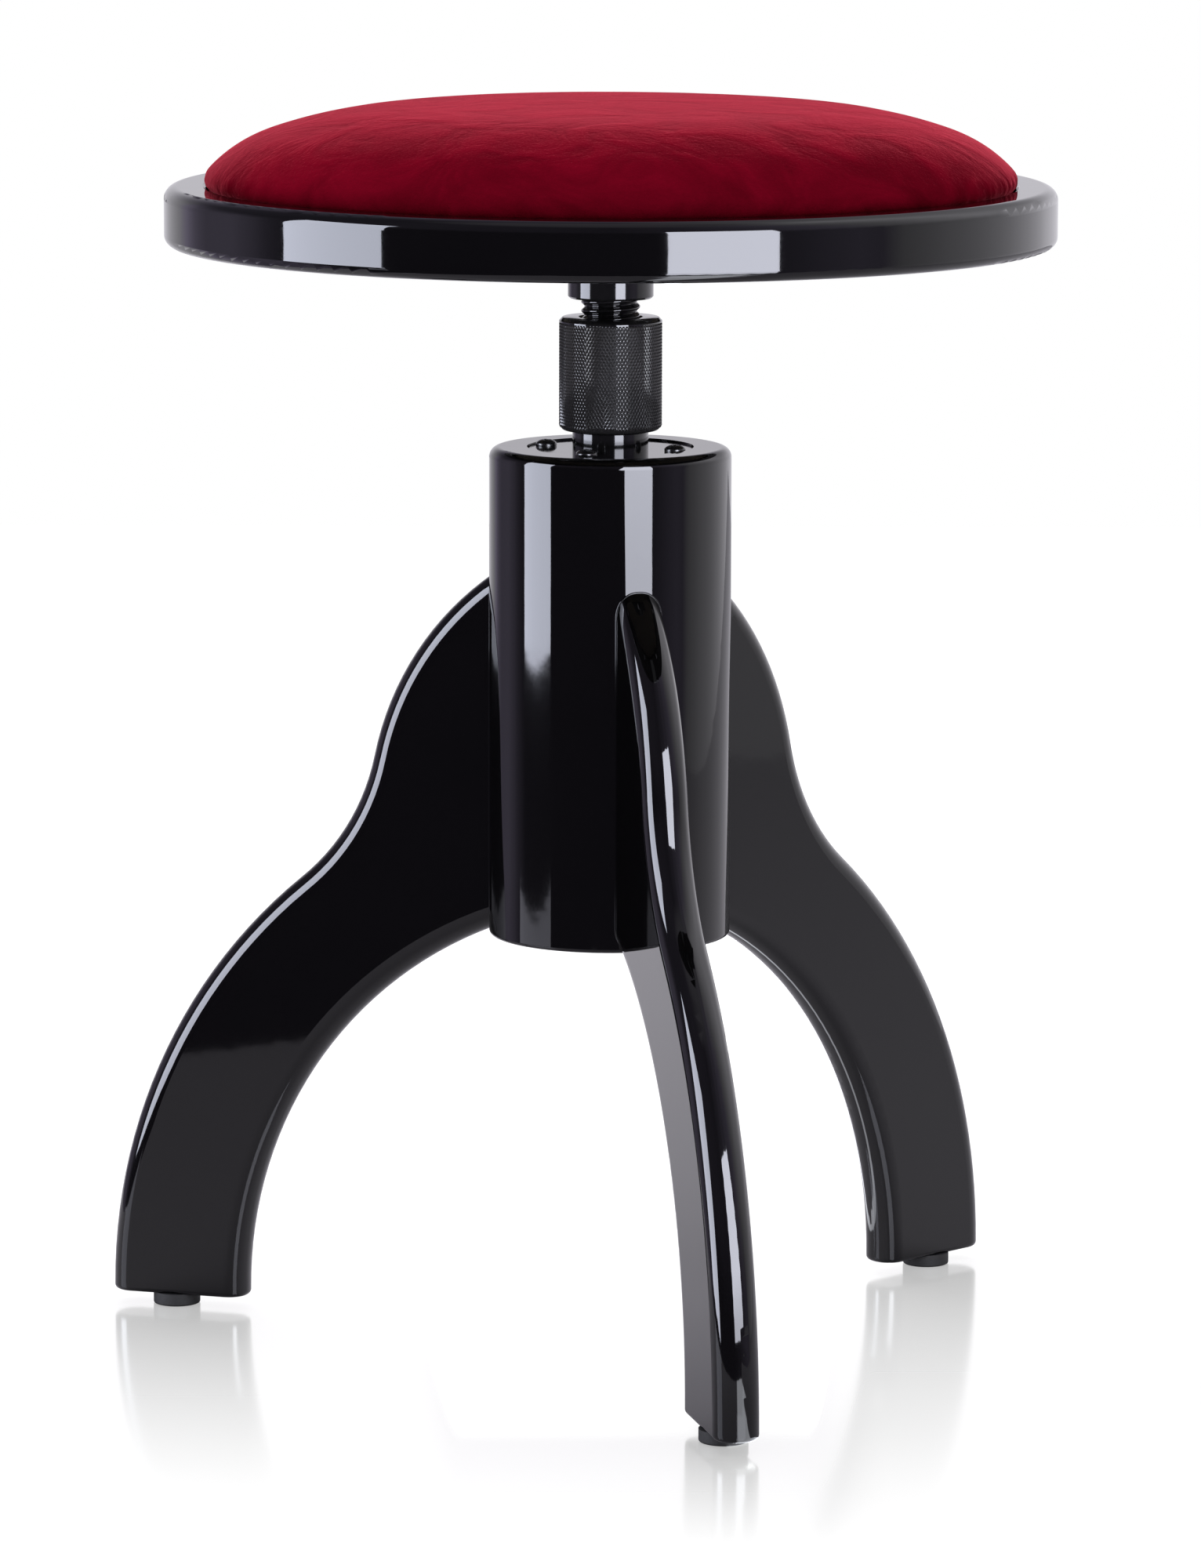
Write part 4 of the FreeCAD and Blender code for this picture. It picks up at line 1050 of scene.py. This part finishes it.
class STOOL_OT_finishes(bpy.types.Operator):
    """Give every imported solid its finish"""
    bl_idname = "stool.finishes"
    bl_label = "Finishes"

    def execute(self, context):
        colours = context.scene.stool_colours
        made = {
            "lacquer": lacquer_finish(colours.lacquer),
            "enamel": enamel_finish(),
            "rubber": rubber_finish(),
            "zinc": zinc_finish(),
            "beech": timber_finish(
                "dowel_beech_bare", (0.66, 0.47, 0.28), (0.76, 0.60, 0.41), 0.006, (1, 1, 0.25)),
            "plywood": timber_finish(
                "board_plywood", (0.60, 0.43, 0.25), (0.77, 0.62, 0.44), 0.012, (1, 0.15, 1),
                black_below=BOARD_LOW[2] + 0.0003),
            "oxide": oxide_finish(
                "screw_black_oxide", (0.012, 0.012, 0.013), (0.032, 0.031, 0.032), 0.25, 0.5),
        }
        dressed = {
            "lacquer": ("column", "leg_front", "leg_right", "leg_left", "seat_ring"),
            "enamel": ("neck_flange", "seat_hub", "seat_plate"),
            "rubber": ("foot_front", "foot_right", "foot_left"),
            "zinc": ("foot_studs", "stop_washer", "thrust_washer", "stop_screw", "hub_pin", "plate_screws",
                     "board_screws"),
            "beech": ("leg_dowels",),
            "plywood": ("seat_board",),
            "oxide": ("flange_screws", "lock_nut", "spindle"),
        }
        for finish, nodes in dressed.items():
            for name in nodes:
                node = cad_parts[name]
                if not node.material_slots:
                    raise RuntimeError(f"{name} has no material slot")
                for held in node.material_slots:
                    held.link = "OBJECT"
                    held.material = made[finish]
        return {"FINISHED"}


class STOOL_OT_cushion(bpy.types.Operator):
    """Make the padded velvet cushion"""
    bl_idname = "stool.cushion"
    bl_label = "Cushion"

    def execute(self, context):
        finish = velvet_finish(context.scene.stool_colours.velvet)
        cushion = make_cushion(finish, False, context.scene.stool_sizes.cushion_voxel)
        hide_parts("cushion_cover", "cushion_foam")
        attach(cushion, "seat")
        return {"FINISHED"}


class STOOL_OT_spindle(bpy.types.Operator):
    """Make the spindle with its thread"""
    bl_idname = "stool.spindle"
    bl_label = "Spindle"

    def execute(self, context):
        sizes = context.scene.stool_sizes
        finish = oxide_finish("thread_black_oxide", (0.005, 0.005, 0.006), (0.010, 0.010, 0.011), 0.05, 0.11)
        spindle = mesh_object("spindle_threaded", [], [])
        thread_tree(
            finish, sizes.thread_pitch, sizes.thread_depth, sides=64, steps=640,
            start=SPINDLE_LOW[2] + 0.002, end=HUB_FOOT + 0.004, radius=SPINDLE_HIGH[0],
        ).run(spindle)
        outward(spindle)
        smooth(spindle, 60)
        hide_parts("spindle")
        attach(spindle, "seat")
        return {"FINISHED"}


class STOOL_OT_lock_nut(bpy.types.Operator):
    """Make the knurled lock nut"""
    bl_idname = "stool.lock_nut"
    bl_label = "Lock nut"

    def execute(self, context):
        sizes = context.scene.stool_sizes
        finish = knurl_finish()
        nut = make_nut_body()
        knurl_tree(
            finish, sizes.knurl_count, sizes.knurl_rows, low=NUT_LOW[2] + 0.0012,
            high=NUT_HIGH[2] - 0.0016, radius=NUT_HIGH[0] - 0.00002, depth=sizes.knurl_depth,
        ).run(nut)
        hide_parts("lock_nut")
        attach(nut, "nut")
        return {"FINISHED"}


class STOOL_OT_screws(bpy.types.Operator):
    """Make the screws of the flange, the plate and the board"""
    bl_idname = "stool.screws"
    bl_label = "Screws"

    def execute(self, context):
        black = oxide_finish("screw_head_black", (0.004, 0.004, 0.0045), (0.010, 0.009, 0.010), 0.16, 0.34)
        zinc = zinc_finish()
        dome, pan, flat = 2.6, 2.8, 2.2
        screw = make_screw("flange_screw", 4.15, dome, 2.0, 28.0, domed=True)
        flange = make_screws("flange_screws_domed", "flange_screws", FLANGE_SCREWS_TOP - dome * MM,
                             screw, black, seed=3, upside_down=False)
        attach(flange, "stand")
        screw = make_screw("plate_screw", 4.5, pan, 2.25, 11.5, domed=True)
        plate = make_screws("plate_screws_domed", "plate_screws", PLATE_SCREWS_FOOT + pan * MM,
                            screw, zinc, seed=7, upside_down=True)
        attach(plate, "seat")
        screw = make_screw("board_screw", 4.0, flat, 2.0, 15.8, domed=False)
        board = make_screws("board_screws_sunk", "board_screws", BOARD_SCREWS_FOOT + flat * MM,
                            screw, zinc, seed=11, upside_down=True)
        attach(board, "seat")
        return {"FINISHED"}


class STOOL_OT_corner_beads(bpy.types.Operator):
    """Draw the lacquer into the corners between the legs and the column"""
    bl_idname = "stool.corner_beads"
    bl_label = "Corner beads"

    def execute(self, context):
        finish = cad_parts["column"].material_slots[0].material
        points, pairs = [], []
        for node in ("leg_front", "leg_right", "leg_left"):
            found, joined = corner_path(node, COLUMN_RADIUS)
            if not joined:
                raise RuntimeError(f"{node} has no edge on the column's wall")
            pairs += [[a + len(points), b + len(points)] for a, b in joined]
            points += found
        beads = mesh_object("corner_beads", [], [])
        beads.data.from_pydata(points, pairs, [])
        bead_tree(finish, context.scene.stool_sizes.bead_radius, 0.0012).run(beads)
        outward(beads)
        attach(beads, "stand")
        return {"FINISHED"}


class STOOL_OT_stage(bpy.types.Operator):
    """Set up the table, the lights and the camera"""
    bl_idname = "stool.stage"
    bl_label = "Stage"

    def execute(self, context):
        sizes = context.scene.stool_sizes
        context.scene.view_settings.view_transform = "Standard"
        make_camera()
        make_world(sizes.plain_level)
        make_floor(left_side=-0.50, right_side=1.5, front=0.90, mirror=sizes.mirror)
        for name, settings in LAMPS.items():
            make_lamp(name, **settings)
        return {"FINISHED"}


class STOOL_PT_panel(bpy.types.Panel):
    """The stool's sizes, colours and making"""
    bl_label = "Piano stool"
    bl_idname = "STOOL_PT_panel"
    bl_space_type = "VIEW_3D"
    bl_region_type = "UI"
    bl_category = "Piano stool"

    def draw(self, context):
        layout = self.layout
        for held in (context.scene.stool_colours, context.scene.stool_sizes):
            column = layout.column(align=True)
            for name in held.bl_rna.properties.keys():
                if name not in ("rna_type", "name"):
                    column.prop(held, name)
        for maker in MAKERS:
            layout.operator(maker.bl_idname)


MAKERS = (STOOL_OT_finishes, STOOL_OT_cushion, STOOL_OT_spindle, STOOL_OT_lock_nut, STOOL_OT_screws,
          STOOL_OT_corner_beads, STOOL_OT_stage)
CLASSES = (StoolColours, StoolSizes, *MAKERS, STOOL_PT_panel)


def register():
    for held in CLASSES:
        bpy.utils.register_class(held)
    bpy.types.Scene.stool_colours = bpy.props.PointerProperty(type=StoolColours)
    bpy.types.Scene.stool_sizes = bpy.props.PointerProperty(type=StoolSizes)


def unregister():
    del bpy.types.Scene.stool_sizes
    del bpy.types.Scene.stool_colours
    for held in reversed(CLASSES):
        bpy.utils.unregister_class(held)


def main():
    register()
    bpy.ops.stool.finishes()
    bpy.ops.stool.cushion()
    bpy.ops.stool.spindle()
    bpy.ops.stool.lock_nut()
    bpy.ops.stool.screws()
    bpy.ops.stool.corner_beads()
    bpy.ops.stool.stage()


if __name__ == "__main__":
    main()
